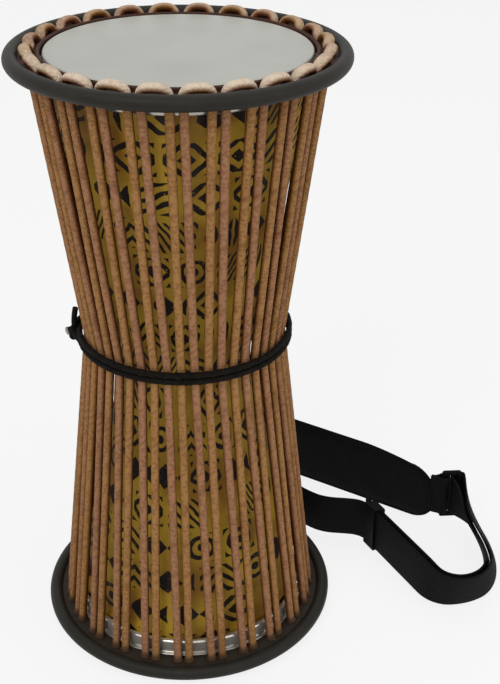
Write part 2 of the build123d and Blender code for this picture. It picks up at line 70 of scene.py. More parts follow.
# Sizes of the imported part, in millimetres. Depth is measured from either end plane inwards.
HEIGHT = 460.0
SHELL_EDGE_R, SHELL_WAIST_R, SHELL_WALL = 88.2, 46.5, 6.0
SHELL_WAIST_Z, SHELL_WAIST_ROUND, SHELL_SWELL = 224.0, 120.0, 2.8
SHELL_EDGE_DEPTH, SHELL_EDGE_BEVEL = 6.2, 1.0
WAIST_STEPS, CONE_STEPS = 12, 10
HEAD_DEPTH, FILM_THICK, COLLAR_R, COLLAR_END = 5.4, 0.6, 89.0, 21.4
FILM_EASE_OUT, FILM_EASE_IN = 1.6, 1.0
HOOP_INNER_R, HOOP_OUTER_R, HOOP_FLANGE_R = 89.2, 91.2, 94.0
HOOP_DEPTH, HOOP_FLANGE, HOOP_END = 10.8, 1.4, 23.0
HOOP_ROLL_R, HOOP_ROLL_DEPTH, HOOP_EASE = 87.6, 21.7, 1.7
COUNTER_DEPTH = 10.6
RIM_CENTRE_R, RIM_TUBE_R, RIM_DEPTH = 109.73, 5.25, 9.1
SLIT_R, SLIT_HALF, RIM_STEPS = 107.0, 1.7, 30
CORD_R, CORD_RIM_R, CORD_WAIST_R = 3.1, 98.0, 71.0
RUN_DEPTH, LEG_DEPTH, FOOT_RISE, RUN_PAST_WAIST = 9.9, 8.3, 1.3, 2.5
# How much wider a run is at its first rings, where it comes out of its hole
FOOT_SWELL = (1.28, 1.5, 1.06)
WAIST_Z = 247.0
BIGHTS, PITCH, PAIR_HALF = 24, 15.0, 2.5
PRINT_COLUMNS = 15
TOP_TURN, BOTTOM_TURN = 0.5, -1.7
BIGHT_BULGE, BIGHT_SHOULDER, BIGHT_LIE, BIGHT_BEND = 2.2, 0.2, 2.8, 6.13
BIGHT_UNDER, BIGHT_LOWER, BIGHT_WIDER, BIGHT_EASE = 4.0, 0.1, 0.34, 0.7
# Cord tones of every first and every second bight
BIGHT_TONES = (0.05, 0.9)
BANK_ANGLE = 38.0
BAND_R, BAND_CORD_R, BAND_APART = 77.09, 2.3, 5.1
BAND_SIDES, BAND_STEP, BAND_OVERLAP = 12, 1.5, 6.0
# Length of one turn of a cord's strands. The band's goes a whole number of times into a quarter of its turn.
STRANDS, CORD_LAY, BAND_LAY = 3, 11.0, BAND_R * math.pi / 26
CORD_RELIEF, BAND_RELIEF = 0.045, 0.12
KNOT_BEARING, KNOT_REACH, KNOT_CLIMB = -88.0, 14.0, 8.0
KNOT_R = BAND_R + 3.6
KNOT_CORD_R, KNOT_WIDE, KNOT_TALL, KNOT_DEEP, KNOT_STEPS = 2.5, 1.35, 1.4, 1.3, 54
KNOT_LOW, KNOT_OUT, ENTRY_LIFT, TAIL_SIDES = 2.6, 0.7, 2.6, 10
TAIL_UP, TAIL_LEAN, TAIL_OUT, TAIL_DROP = 17.0, 1.5, 4.6, 0.35
# The melted end of the tail: how far out, and how much wider each way
TIP_SHAPE = ((0, 1.2, 1.2), (0.8, 1.4, 1.35), (1.7, 1.3, 1.25), (2.3, 0.8, 0.75))
WEB_WIDTH, WEB_THICK, WEB_BEVEL = 38.0, 1.6, 0.45
PAD_LENGTH, PAD_WIDTH, PAD_THICK, PAD_CORNER = 186.0, 60.0, 6.0, 21.0
PAD_DROOP, PAD_DROOP_FROM, PAD_DROOP_EASE = 11.0, 0.62, 1.6
PAD_CROWN_REACH, PAD_CROWN_EASE, PAD_RIPPLE = 11.0, 2.2, 0.12
BINDING_R, STITCH_INSET, STITCH_HEIGHT = 1.3, 9.0, 1.75
STITCH_LENGTH, STITCH_WIDTH, STITCH_RISE, STITCH_CROWN = 2.2, 0.55, 0.35, 0.6
PAD_BEARING, TAB_TURN, RING_Z = 123.0, 36.0, 30.4
LAY_FROM = Vector((94.187, 65.95, 0))
PAD_FRONT = Vector((122.0, 20.0, 0))


def on_bearing(radius, bearing, z):
    """A point in millimetres at a bearing, in degrees from the front towards +X."""
    turn = math.radians(bearing)
    return Vector((radius * math.sin(turn), -radius * math.cos(turn), z))


def at_depth(depth, top):
    return HEIGHT - depth if top else depth


def srgb(red, green, blue):
    """A screen colour from 0 to 255 as the linear colour that a shader takes."""
    def straight(value):
        value /= 255
        return value / 12.92 if value <= 0.04045 else ((value + 0.055) / 1.055) ** 2.4
    return straight(red), straight(green), straight(blue)


def colour_property(name, description, default):
    return FloatVectorProperty(name=name, description=description, default=default, min=0, max=1,
                               size=3, subtype="COLOR")


class DrumColours(bpy.types.PropertyGroup):
    """Colours that a user would change"""
    ground: colour_property("Shell ground", "Ground of the printed shell", srgb(204, 164, 50))
    ground_dark: colour_property("Shell shade", "Darker clouds in the ground", srgb(152, 106, 30))
    ink: colour_property("Shell ink", "Motifs of the print", srgb(26, 12, 6))
    cord_tan: colour_property("Cord tan", "First tone of the tension cord", srgb(163, 112, 44))
    cord_pink: colour_property("Cord pink", "Second tone of the tension cord", srgb(160, 106, 70))
    # Painted highlight laid on the crowns of the cords, strongest on the front bights.
    cord_highlight: colour_property("Cord pale", "Rubbed crowns of the bights", srgb(238, 218, 194))
    # Dark flecks and patches of the cord, and also its painted shade at the sides.
    cord_dark: colour_property("Cord dark", "Soiled sides of the tension cord", srgb(78, 32, 8))
    film: colour_property("Film", "Both heads", srgb(189, 190, 182))
    metal: colour_property("Hoop", "Metal of the flesh hoops", srgb(240, 234, 222))
    counterhoop: colour_property("Counterhoop", "Pierced hoop under the bights", srgb(56, 28, 14))
    # Also the painted shade at the feet of the tension runs.
    bare: colour_property("Counterhoop inside", "Unpainted side of the counterhoops", srgb(47, 39, 31))
    rubber: colour_property("Rim ring", "Soft rings round both rims", srgb(31, 28, 22))
    black_cord: colour_property("Waist cord", "Cord tied round the waist", srgb(14, 11, 8))
    tip: colour_property("Cord tip", "Melted end of the waist cord", srgb(150, 148, 146))
    webbing: colour_property("Webbing", "Woven strap", srgb(11, 11, 11))
    pad: colour_property("Pad", "Cloth of the shoulder pad", srgb(13, 13, 13))
    plastic: colour_property("Plastic", "Rings and keeper", srgb(11, 11, 11))


class DrumSizes(bpy.types.PropertyGroup):
    """Sizes of the dressing that a user would change"""
    cord_sides: IntProperty(name="Cord sides", description="Sides of a tension cord's tube",
                            default=12, min=6, max=32)
    cord_step: FloatProperty(name="Cord step", description="Length of one ring of a cord's tube",
                             default=3.6 * MM, min=MM, unit="LENGTH")
    braid_pitch: FloatProperty(name="Braid pitch", description="Length of one pick of the braid",
                               default=2.6 * MM, min=0.5 * MM, unit="LENGTH")
    weave_pitch: FloatProperty(name="Weave pitch", description="Spacing of the webbing's ribs",
                               default=1.5 * MM, min=0.3 * MM, unit="LENGTH")
    patch: FloatProperty(name="Print patch", description="Height of one patch of the shell's print",
                         default=28 * MM, min=5 * MM, unit="LENGTH")
    stitch: FloatProperty(name="Stitch", description="Length of one stitch with its gap",
                          default=3.4 * MM, min=MM, unit="LENGTH")
    steps: IntProperty(name="Ring steps", description="Steps round a turned piece", default=128, min=24)


# Shader nodes
def add_node(tree, kind, inputs=None, **settings):
    """Add a node, set its options, and link or set its inputs."""
    made = tree.nodes.new(kind)
    for key, value in settings.items():
        setattr(made, key, value)
    fill_inputs(tree, made, inputs or {})
    return made


def fill_inputs(tree, node, inputs):
    for key, value in inputs.items():
        if isinstance(value, bpy.types.NodeSocket):
            tree.links.new(value, node.inputs[key])
        else:
            node.inputs[key].default_value = value


def calc(tree, operation, *values, clamp=False):
    """One Math node; returns its output."""
    return add_node(tree, "ShaderNodeMath", dict(enumerate(values)), operation=operation,
                    use_clamp=clamp).outputs[0]


def mixed(tree, factor, first, second):
    """One colour Mix node; returns its output."""
    ends = [end if isinstance(end, bpy.types.NodeSocket) else (*end, 1) for end in (first, second)]
    made = add_node(tree, "ShaderNodeMix", data_type="RGBA")
    fill_inputs(tree, made, {0: factor, 6: ends[0], 7: ends[1]})
    return made.outputs[2]


def ramp(tree, value, low, high):
    """A value eased from 0 at low to 1 at high."""
    return add_node(tree, "ShaderNodeMapRange", {"Value": value, "From Min": low, "From Max": high},
                    interpolation_type="SMOOTHSTEP").outputs["Result"]


def new_group(name, inputs, outputs):
    """A shader node group with float sockets, or vector sockets for names that end in Place."""
    tree = bpy.data.node_groups.new(name, "ShaderNodeTree")
    for title, default in inputs.items():
        kind = "NodeSocketVector" if title.endswith("Place") else "NodeSocketFloat"
        socket = tree.interface.new_socket(title, in_out="INPUT", socket_type=kind)
        if kind == "NodeSocketFloat":
            socket.default_value = default
    for title in outputs:
        tree.interface.new_socket(title, in_out="OUTPUT", socket_type="NodeSocketFloat")
    return tree, tree.nodes.new("NodeGroupInput").outputs, tree.nodes.new("NodeGroupOutput").inputs


def place_group(tree, name, build, inputs):
    """Place the named node group, which is built on its first use; returns its outputs."""
    made = tree.nodes.new("ShaderNodeGroup")
    made.node_tree = bpy.data.node_groups.get(name) or build(name)
    fill_inputs(tree, made, inputs)
    return made.outputs


def build_braid(name):
    """Picks of a round braid, from the turn around the cord and the length along it."""
    tree, given, out = new_group(name, {"Around": 0, "Along": 0, "Plait": 6, "Pitch": 0.0026},
                                 ("Height", "Fleck"))
    across = calc(tree, "MULTIPLY", given["Around"], given["Plait"])
    ahead = calc(tree, "DIVIDE", given["Along"], given["Pitch"])
    right = calc(tree, "ADD", across, ahead)
    left = calc(tree, "SUBTRACT", across, ahead)
    waves = [calc(tree, "ABSOLUTE", calc(tree, "SINE", calc(tree, "MULTIPLY", lane, math.pi)))
             for lane in (right, left)]
    tree.links.new(calc(tree, "POWER", calc(tree, "MULTIPLY", *waves), 0.5), out["Height"])
    pick = add_node(tree, "ShaderNodeCombineXYZ", {"X": calc(tree, "FLOOR", right),
                                                   "Y": calc(tree, "FLOOR", left)})
    fleck = add_node(tree, "ShaderNodeTexWhiteNoise", {"Vector": pick.outputs[0]})
    tree.links.new(fleck.outputs["Value"], out["Fleck"])
    return tree


def build_weave(name):
    """Ribs of a flat woven web, from the place across it and along it."""
    tree, given, out = new_group(name, {"Across": 0, "Along": 0, "Pitch": 0.0015}, ("Height", "Fleck"))
    across = calc(tree, "DIVIDE", given["Across"], given["Pitch"])
    ahead = calc(tree, "DIVIDE", given["Along"], given["Pitch"])
    column = calc(tree, "FLOOR", across)
    shifted = calc(tree, "ADD", ahead, calc(tree, "MULTIPLY", column, 0.5))
    rib = calc(tree, "ABSOLUTE", calc(tree, "SINE", calc(tree, "MULTIPLY", across, math.pi)))
    float_over = calc(tree, "ABSOLUTE", calc(tree, "SINE", calc(tree, "MULTIPLY", shifted, math.pi)))
    tree.links.new(calc(tree, "MULTIPLY", rib, calc(tree, "MULTIPLY_ADD", float_over, 0.6, 0.4)),
                   out["Height"])
    pick = add_node(tree, "ShaderNodeCombineXYZ", {"X": column, "Y": calc(tree, "FLOOR", shifted)})
    fleck = add_node(tree, "ShaderNodeTexWhiteNoise", {"Vector": pick.outputs[0]})
    tree.links.new(fleck.outputs["Value"], out["Fleck"])
    return tree


def build_cloud(name):
    """Broad soft variation and fine grain, from the place on the object."""
    tree, given, out = new_group(name, {"Place": None, "Broad": 20, "Fine": 400}, ("Broad", "Fine"))
    for title, detail in (("Broad", 4), ("Fine", 2)):
        noise = add_node(tree, "ShaderNodeTexNoise", {"Vector": given["Place"], "Scale": given[title],
                                                      "Detail": detail})
        tree.links.new(noise.outputs["Fac"], out[title])
    return tree


def build_print(name):
    """A patchwork of plain motifs in rows round the shell, as a mask for the ink."""
    tree, given, out = new_group(name, {"Turn": 0, "Rise": 0, "Columns": PRINT_COLUMNS}, ("Ink",))
    row = calc(tree, "FLOOR", given["Rise"])
    stagger = calc(tree, "MULTIPLY", row, 0.38)
    column = calc(tree, "MULTIPLY_ADD", given["Turn"], given["Columns"], stagger)
    whole = calc(tree, "FLOOR", column)
    side = calc(tree, "SUBTRACT", column, whole)
    rise = calc(tree, "SUBTRACT", given["Rise"], row)
    wrapped = calc(tree, "WRAP", calc(tree, "SUBTRACT", whole, stagger), given["Columns"], 0)
    patch = add_node(tree, "ShaderNodeCombineXYZ", {"X": calc(tree, "ROUND", wrapped), "Y": row})
    dice = add_node(tree, "ShaderNodeTexWhiteNoise", {"Vector": patch.outputs[0]})
    pick = calc(tree, "MULTIPLY", dice.outputs["Value"], 6.6)
    lean = calc(tree, "SUBTRACT", add_node(tree, "ShaderNodeSeparateColor",
                                           {"Color": dice.outputs["Color"]}).outputs[1], 0.5)
    across = calc(tree, "SUBTRACT", side, 0.5)
    up = calc(tree, "SUBTRACT", rise, 0.5)
    reach = calc(tree, "SQRT", calc(tree, "ADD", calc(tree, "MULTIPLY", across, across),
                                    calc(tree, "MULTIPLY", up, up)))

    def bars(value, count, share):
        wave = calc(tree, "FRACT", calc(tree, "MULTIPLY", value, count))
        return calc(tree, "LESS_THAN", wave, share)

    slanted = calc(tree, "MULTIPLY_ADD", across, calc(tree, "MULTIPLY", lean, 4), up)
    hatch = bars(calc(tree, "ADD", slanted, 4), 3.5, 0.46)
    rings = bars(reach, 4.2, 0.48)
    fold = calc(tree, "ABSOLUTE", across)
    chevron = bars(calc(tree, "MULTIPLY_ADD", fold, 1.1, rise), 3, 0.44)
    tooth = calc(tree, "PINGPONG", calc(tree, "MULTIPLY", side, 3), 1)
    teeth = calc(tree, "LESS_THAN", calc(tree, "ABSOLUTE", up), calc(tree, "MULTIPLY", tooth, 0.36))
    lozenge = calc(tree, "ADD", fold, calc(tree, "ABSOLUTE", up))
    diamonds = bars(lozenge, 2.8, 0.5)
    blade = calc(tree, "SUBTRACT", calc(tree, "FRACT", calc(tree, "MULTIPLY", side, 2)), 0.5)
    belly = calc(tree, "MULTIPLY_ADD", calc(tree, "MULTIPLY", up, up), -1.5, 0.3)
    vein = calc(tree, "GREATER_THAN", calc(tree, "ABSOLUTE", blade), 0.06)
    leaves = calc(tree, "MULTIPLY", vein, calc(tree, "LESS_THAN", calc(tree, "ABSOLUTE", blade), belly))
    total = None
    for index, motif in enumerate((hatch, rings, chevron, teeth, diamonds, leaves)):
        chosen = calc(tree, "COMPARE", calc(tree, "FLOOR", pick), index, 0.1)
        part = calc(tree, "MULTIPLY", chosen, motif)
        total = part if total is None else calc(tree, "ADD", total, part)
    inside_x = calc(tree, "LESS_THAN", fold, 0.43)
    inside_y = calc(tree, "LESS_THAN", calc(tree, "ABSOLUTE", up), 0.42)
    tree.links.new(calc(tree, "MULTIPLY", total, calc(tree, "MULTIPLY", inside_x, inside_y), clamp=True),
                   out["Ink"])
    return tree


def new_material(name, roughness, metallic=0.0, specular=0.5):
    """A material whose plain values sit on the Principled shader's own sockets."""
    material = bpy.data.materials.new(name)
    material.use_nodes = True
    tree = material.node_tree
    shader = tree.nodes["Principled BSDF"]
    shader.inputs["Roughness"].default_value = roughness
    shader.inputs["Metallic"].default_value = metallic
    shader.inputs["Specular IOR Level"].default_value = specular
    return material, tree, shader


def raise_bump(tree, shader, height, distance, strength=1.0):
    bump = add_node(tree, "ShaderNodeBump", {"Height": height, "Distance": distance, "Strength": strength})
    fill_inputs(tree, shader, {"Normal": bump.outputs["Normal"]})


def object_place(tree):
    return tree.nodes.new("ShaderNodeTexCoord").outputs["Object"]


def cloud_over(tree, place, broad, fine):
    return place_group(tree, "cloud", build_cloud, {"Place": place, "Broad": broad, "Fine": fine})


def parts_of(tree, vector):
    return add_node(tree, "ShaderNodeSeparateXYZ", {"Vector": vector}).outputs


def from_middle(tree, height):
    """How far a height lies from the middle of the drum's length, either way."""
    return calc(tree, "ABSOLUTE", calc(tree, "SUBTRACT", height, HEIGHT / 2 * MM))


def own_uv(tree):
    split = parts_of(tree, tree.nodes.new("ShaderNodeUVMap").outputs[0])
    return split[0], split[1]


def scaled_colour(colour, share):
    return tuple(min(value * share, 1) for value in colour)


def shell_finish():
    """Printed, satin moulded fibre."""
    look, sizes = bpy.context.scene.drum_colours, bpy.context.scene.drum_sizes
    material, tree, shader = new_material("printed_shell", 0.5, specular=0.22)
    place = object_place(tree)
    cloud = cloud_over(tree, place, 22, 500)
    wobble = add_node(tree, "ShaderNodeTexNoise", {"Vector": place, "Scale": 90, "Detail": 1})
    shaken = add_node(tree, "ShaderNodeVectorMath", {0: wobble.outputs["Color"], 1: (0.5, 0.5, 0.5)},
                      operation="SUBTRACT")
    drawn = add_node(tree, "ShaderNodeVectorMath", {0: shaken.outputs[0], 1: (0.004, 0.004, 0.004), 2: place},
                     operation="MULTIPLY_ADD")
    split = parts_of(tree, drawn.outputs[0])
    back = calc(tree, "MULTIPLY", split[1], -1)
    turn = calc(tree, "DIVIDE", calc(tree, "ARCTAN2", split[0], back), 2 * math.pi)
    rise = calc(tree, "DIVIDE", split[2], sizes.patch)
    motifs = {"Turn": calc(tree, "ADD", turn, 1), "Rise": rise, "Columns": PRINT_COLUMNS}
    ink = place_group(tree, "print", build_print, motifs)["Ink"]
    ground = mixed(tree, ramp(tree, cloud["Broad"], 0.38, 0.66), look.ground, look.ground_dark)
    tired = calc(tree, "MULTIPLY", ink, ramp(tree, cloud["Fine"], 0.2, 0.36))
    fill_inputs(tree, shader, {"Base Color": mixed(tree, tired, ground, look.ink),
                               "Roughness": calc(tree, "MULTIPLY_ADD", cloud["Fine"], 0.2, 0.4)})
    raise_bump(tree, shader, cloud["Fine"], 0.00006)
    return material


def cord_finish(name, pale, front_pale, foot_shade_strength):
    """Braided tension cord in two tones with dark flecks and patches, painted shade at its sides and at its
    feet, and a painted highlight along its crown that can be stronger towards the front.
    """
    look, sizes = bpy.context.scene.drum_colours, bpy.context.scene.drum_sizes
    material, tree, shader = new_material(name, 0.85, specular=0.12)
    around, along = own_uv(tree)
    plait = {"Around": around, "Along": along, "Plait": 6, "Pitch": sizes.braid_pitch}
    braid = place_group(tree, "braid", build_braid, plait)
    tone = add_node(tree, "ShaderNodeAttribute", attribute_name="tone").outputs["Fac"]
    place = object_place(tree)
    cloud = cloud_over(tree, place, 60, 900)
    aside = calc(tree, "ABSOLUTE", calc(tree, "MULTIPLY_ADD", around, 2, -1))
    split = parts_of(tree, place)
    # Painted highlight: how strongly each cord's crown is lightened, the front value at the front of the drum
    # and the other value behind it.
    paler = calc(tree, "MULTIPLY_ADD", ramp(tree, split[1], -0.1, 0.02), pale - front_pale, front_pale)
    # Painted shade at the feet of the runs: darkened to the counterhoop's inside colour near their holes.
    foot = (HEIGHT / 2 - RUN_DEPTH) * MM
    near_foot = ramp(tree, from_middle(tree, split[2]), foot - 9 * MM, foot - 2.5 * MM)
    painted_foot_shade = calc(tree, "MULTIPLY", near_foot, foot_shade_strength)
    # Painted highlight along the middle of each cord, fading towards its sides.
    crown = calc(tree, "MULTIPLY", calc(tree, "SUBTRACT", 1, ramp(tree, aside, 0.2, 0.6)), paler)
    base = mixed(tree, crown, mixed(tree, tone, look.cord_tan, look.cord_pink), look.cord_highlight)
    fleck = calc(tree, "MULTIPLY", ramp(tree, braid["Fleck"], 0.35, 1.0),
                 calc(tree, "MULTIPLY_ADD", paler, -0.25, 0.36))
    flecked = mixed(tree, fleck, base, look.cord_dark)
    # Painted shade: each cord is darkened towards its sides, where its neighbours shade it.
    side_shade = calc(tree, "MULTIPLY", ramp(tree, aside, 0.3, 0.62), 0.85)
    side_shaded = mixed(tree, side_shade, flecked, look.cord_dark)
    worn = calc(tree, "MULTIPLY", ramp(tree, cloud["Broad"], 0.5, 0.75), 0.3)
    aged = mixed(tree, worn, side_shaded, look.cord_dark)
    fill_inputs(tree, shader, {"Base Color": mixed(tree, painted_foot_shade, aged, look.bare)})
    raise_bump(tree, shader, braid["Height"], 0.0005, 0.8)
    return material


def film_finish():
    """Satin film with a faint cast and fine tooth."""
    look = bpy.context.scene.drum_colours
    material, tree, shader = new_material("head_film", 0.42, specular=0.35)
    cloud = cloud_over(tree, object_place(tree), 14, 1400)
    shade = scaled_colour(look.film, 0.9)
    fill_inputs(tree, shader, {
        "Base Color": mixed(tree, ramp(tree, cloud["Broad"], 0.35, 0.7), look.film, shade),
        "Roughness": calc(tree, "MULTIPLY_ADD", cloud["Fine"], 0.16, 0.34)})
    raise_bump(tree, shader, cloud["Fine"], 0.00002)
    return material


def metal_finish():
    """Rolled hoop with fine lines along its roll and some random tarnish; painted shade darkens it but for
    its edge, which stays bright as a painted highlight, and darkens the upper hoop more.
    """
    look = bpy.context.scene.drum_colours
    material, tree, shader = new_material("rolled_hoop", 0.36, metallic=0.7)
    place = object_place(tree)
    height = parts_of(tree, place)[2]
    lines = add_node(tree, "ShaderNodeTexNoise", {"W": height, "Scale": 2600, "Detail": 2},
                     noise_dimensions="1D").outputs["Fac"]
    cloud = cloud_over(tree, place, 40, 700)
    edge = (HEIGHT / 2 - HOOP_END) * MM
    # Painted shade: the hoop is darkened away from its edge, which is left bright as a painted highlight; the
    # broad clouds add real tarnish.
    off_edge = ramp(tree, from_middle(tree, height), edge + 6 * MM, edge + 12 * MM)
    body = calc(tree, "MULTIPLY_ADD", off_edge, 0.55,
                calc(tree, "MULTIPLY", ramp(tree, cloud["Broad"], 0.4, 0.75), 0.15))
    # Painted shade: the hoop at the drum's upper end is darkened more.
    upper = calc(tree, "GREATER_THAN", height, HEIGHT / 2 * MM)
    shade_and_tarnish = calc(tree, "MULTIPLY_ADD", upper, 0.5, body, clamp=True)
    fill_inputs(tree, shader, {
        "Base Color": mixed(tree, shade_and_tarnish, look.metal, scaled_colour(look.metal, 0.16)),
        "Roughness": calc(tree, "MULTIPLY_ADD", lines, 0.22, 0.12)})
    raise_bump(tree, shader, lines, 0.00002)
    return material


def plain_finish(name, colour, roughness, grain, depth, specular=0.3, worn=0.35):
    """Moulded stuff: cloudy colour, uneven gloss and a fine grain."""
    material, tree, shader = new_material(name, roughness, specular=specular)
    cloud = cloud_over(tree, object_place(tree), 45, grain)
    paler = scaled_colour(colour, 1 + worn)
    fill_inputs(tree, shader, {
        "Base Color": mixed(tree, ramp(tree, cloud["Broad"], 0.42, 0.72), colour, paler),
        "Roughness": calc(tree, "MULTIPLY_ADD", cloud["Fine"], 0.24, roughness - 0.12)})
    raise_bump(tree, shader, cloud["Fine"], depth)
    return material


def counterhoop_finish():
    """Dark paint on the outer side, and bare stuff on the side that faces the drum's middle."""
    look = bpy.context.scene.drum_colours
    material = plain_finish("painted_counterhoop", look.counterhoop, 0.7, 600, 0.00012, worn=0.5)
    tree = material.node_tree
    shader = tree.nodes["Principled BSDF"]
    height = parts_of(tree, object_place(tree))[2]
    bare = calc(tree, "LESS_THAN", from_middle(tree, height), (HEIGHT / 2 - COUNTER_DEPTH + 0.2) * MM)
    painted = shader.inputs["Base Color"].links[0].from_socket
    fill_inputs(tree, shader, {"Base Color": mixed(tree, bare, painted, look.bare)})
    return material


def black_braid_finish():
    """Black braided waist cord."""
    look, sizes = bpy.context.scene.drum_colours, bpy.context.scene.drum_sizes
    material, tree, shader = new_material("waist_braid", 0.8, specular=0.1)
    around, along = own_uv(tree)
    plait = {"Around": around, "Along": along, "Plait": 5, "Pitch": sizes.braid_pitch * 0.8}
    braid = place_group(tree, "braid", build_braid, plait)
    fleck_and_raise(tree, shader, braid, look.black_cord, 4, 0.0005)
    return material


def fleck_and_raise(tree, shader, threads, colour, lighter, depth):
    """Flecks of a lighter colour at random, brightest on the raised crowns of a braid or weave as a painted
    highlight, and its relief.
    """
    # Random flecks, partly painted highlight: lightened most where the threads stand highest.
    crowns = calc(tree, "MULTIPLY", threads["Fleck"], threads["Height"])
    flecked = mixed(tree, crowns, colour, scaled_colour(colour, lighter))
    fill_inputs(tree, shader, {"Base Color": flecked})
    raise_bump(tree, shader, threads["Height"], depth, 0.9)


def woven_finish(name, colour):
    """Black woven strap, ribbed along its length."""
    sizes = bpy.context.scene.drum_sizes
    material, tree, shader = new_material(name, 0.75, specular=0.1)
    across, along = own_uv(tree)
    ribs = {"Across": across, "Along": along, "Pitch": sizes.weave_pitch}
    fleck_and_raise(tree, shader, place_group(tree, "weave", build_weave, ribs), colour, 2.2, 0.0004)
    return material


def webbing_material():
    """The strap's finish, which is made on its first use."""
    name = "woven_strap"
    return bpy.data.materials.get(name) or woven_finish(name, bpy.context.scene.drum_colours.webbing)


# Meshes
def to_mesh(name, bm):
    mesh = bpy.data.meshes.new(name)
    bm.to_mesh(mesh)
    bm.free()
    return mesh


def make_piece(name, bm, material, node, body="drum"):
    """Turn a bmesh in millimetres into a piece in metres, that stands for a node and rides on a body."""
    bmesh.ops.scale(bm, vec=(MM, MM, MM), verts=bm.verts)
    mesh = to_mesh(name, bm)
    mesh.materials.append(material)
    mesh.polygons.foreach_set("use_smooth", [True] * len(mesh.polygons))
    mesh.set_sharp_from_angle(angle=SMOOTH_ANGLE)
    piece = bpy.data.objects.new(name, mesh)
    bpy.context.scene.collection.objects.link(piece)
    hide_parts(node)
    if body:
        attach(piece, body)
    return piece


def turned(outline, closed):
    """A bmesh turned about the drum's axis from (radius, height) points."""
    bm = bmesh.new()
    verts = [bm.verts.new((radius, 0, z)) for radius, z in outline]
    ends = verts[1:] + verts[:1] if closed else verts[1:]
    edges = [bm.edges.new(pair) for pair in zip(verts, ends)]
    bmesh.ops.spin(bm, geom=verts + edges, cent=(0, 0, 0), axis=(0, 0, 1), angle=2 * math.pi,
                   steps=bpy.context.scene.drum_sizes.steps, use_merge=True)
    bmesh.ops.remove_doubles(bm, verts=bm.verts, dist=1e-4)
    bmesh.ops.recalc_face_normals(bm, faces=bm.faces)
    return bm


def rounded(outline, radius, steps=3):
    """Ease the corners of an open or closed list of points, keeping its ends."""
    result = [outline[0]]
    for before, corner, after in zip(outline, outline[1:], outline[2:]):
        here = Vector(corner)
        to_before, to_after = Vector(before) - here, Vector(after) - here
        reach = min(radius, to_before.length / 2, to_after.length / 2)
        first, last = here + to_before.normalized() * reach, here + to_after.normalized() * reach
        for index in range(steps + 1):
            share = index / steps
            bent = first * (1 - share) ** 2 + here * (2 * share * (1 - share)) + last * share ** 2
            result.append(tuple(bent))
    return result + [outline[-1]]


def spline_points(route, resolution):
    """Points read from a NURBS spline that has the route as its control points."""
    data = bpy.data.curves.new("route", "CURVE")
    data.dimensions = "3D"
    data.resolution_u = resolution
    spline = data.splines.new("NURBS")
    spline.points.add(len(route) - 1)
    for control, point in zip(spline.points, route):
        control.co = (*point, 1)
    spline.order_u = 3
    spline.use_endpoint_u = True
    carrier = bpy.data.objects.new("route", data)
    mesh = bpy.data.meshes.new_from_object(carrier)
    points = [vert.co.copy() for vert in mesh.vertices]
    bpy.data.meshes.remove(mesh)
    bpy.data.objects.remove(carrier)
    bpy.data.curves.remove(data)
    return points


def frames_along(points, outward):
    """A matrix at each point: Z along the route, X as near as can be to the outward direction there."""
    frames, length = [], 0.0
    for index, point in enumerate(points):
        before, after = points[max(index - 1, 0)], points[min(index + 1, len(points) - 1)]
        travel = (after - before).normalized()
        facing = outward(point)
        facing = (facing - travel * facing.dot(travel)).normalized()
        length += (point - before).length
        turn = Matrix((facing, travel.cross(facing), travel)).transposed().to_4x4()
        frames.append((Matrix.Translation(point) @ turn, length))
    return frames


def add_tube(bm, frames, radius, sides, stretch=None, capped=True):
    """Extrude a ring along the frames. UV holds the turn, with 0.5 facing out, and the length in metres."""
    uv = bm.loops.layers.uv.verify()
    first = bmesh.ops.create_circle(bm, cap_ends=False, radius=radius, segments=sides)["verts"]
    edges = list({edge for vert in first for edge in vert.link_edges})
    faces_from = len(bm.faces)
    rings, place = [first], Matrix.Identity(4)
    for index, (frame_here, _) in enumerate(frames):
        ring = rings[-1]
        if index:
            grown = bmesh.ops.extrude_edge_only(bm, edges=edges)["geom"]
            ring = [item for item in grown if isinstance(item, bmesh.types.BMVert)]
            edges = [item for item in grown if isinstance(item, bmesh.types.BMEdge)
                     and item.verts[0] in ring and item.verts[1] in ring]
            rings.append(ring)
        wide, deep = stretch(index / (len(frames) - 1)) if stretch else (1, 1)
        scaled = frame_here @ Matrix.Diagonal((wide, deep, 1, 1))
        bmesh.ops.transform(bm, matrix=scaled @ place.inverted(), verts=ring)
        place = scaled
    station = {vert: index for index, ring in enumerate(rings) for vert in ring}
    bm.faces.ensure_lookup_table()
    for face in bm.faces[faces_from:]:
        turns = []
        for loop in face.loops:
            matrix, length = frames[station[loop.vert]]
            local = matrix.inverted() @ loop.vert.co
            turns.append((math.atan2(local.y, local.x) / (2 * math.pi) + 0.5, length))
        wraps = max(turn for turn, _ in turns) - min(turn for turn, _ in turns) > 0.5
        for loop, (turn, length) in zip(face.loops, turns):
            loop[uv].uv = (turn + 1 if wraps and turn < 0.5 else turn, length * MM)
    if capped:
        for ring in (rings[0], rings[-1]):
            inner = {edge for vert in ring for edge in vert.link_edges
                     if edge.verts[0] in ring and edge.verts[1] in ring}
            bmesh.ops.contextual_create(bm, geom=list(inner))
    bmesh.ops.recalc_face_normals(bm, faces=bm.faces[faces_from:])
    return [vert for ring in rings for vert in ring]


def radial(point):
    return Vector((point.x, point.y, 0)).normalized()


def run_bearings(slot, second):
    """Bearings of a run at the upper rim, the waist and the lower rim."""
    upper = PITCH * slot + TOP_TURN + (PAIR_HALF if second else -PAIR_HALF)
    lower = PITCH * slot + BOTTOM_TURN + (PITCH - PAIR_HALF if second else PAIR_HALF)
    return upper, (upper + lower) / 2, lower


def bank_of(bearing):
    turn = (bearing + 180) % 360 - 180
    if abs(abs(turn) - 90) < BANK_ANGLE:
        return "right" if turn > 0 else "left"
    return "front" if abs(turn) < 90 else "back"


def tone_of(slot, second):
    """Alternating cord tones, each a little off its neighbours."""
    drift = math.modf(slot * 0.618 + (0.31 if second else 0))[0]
    return (0.75 if second else 0.1) + 0.25 * (drift - 0.5)


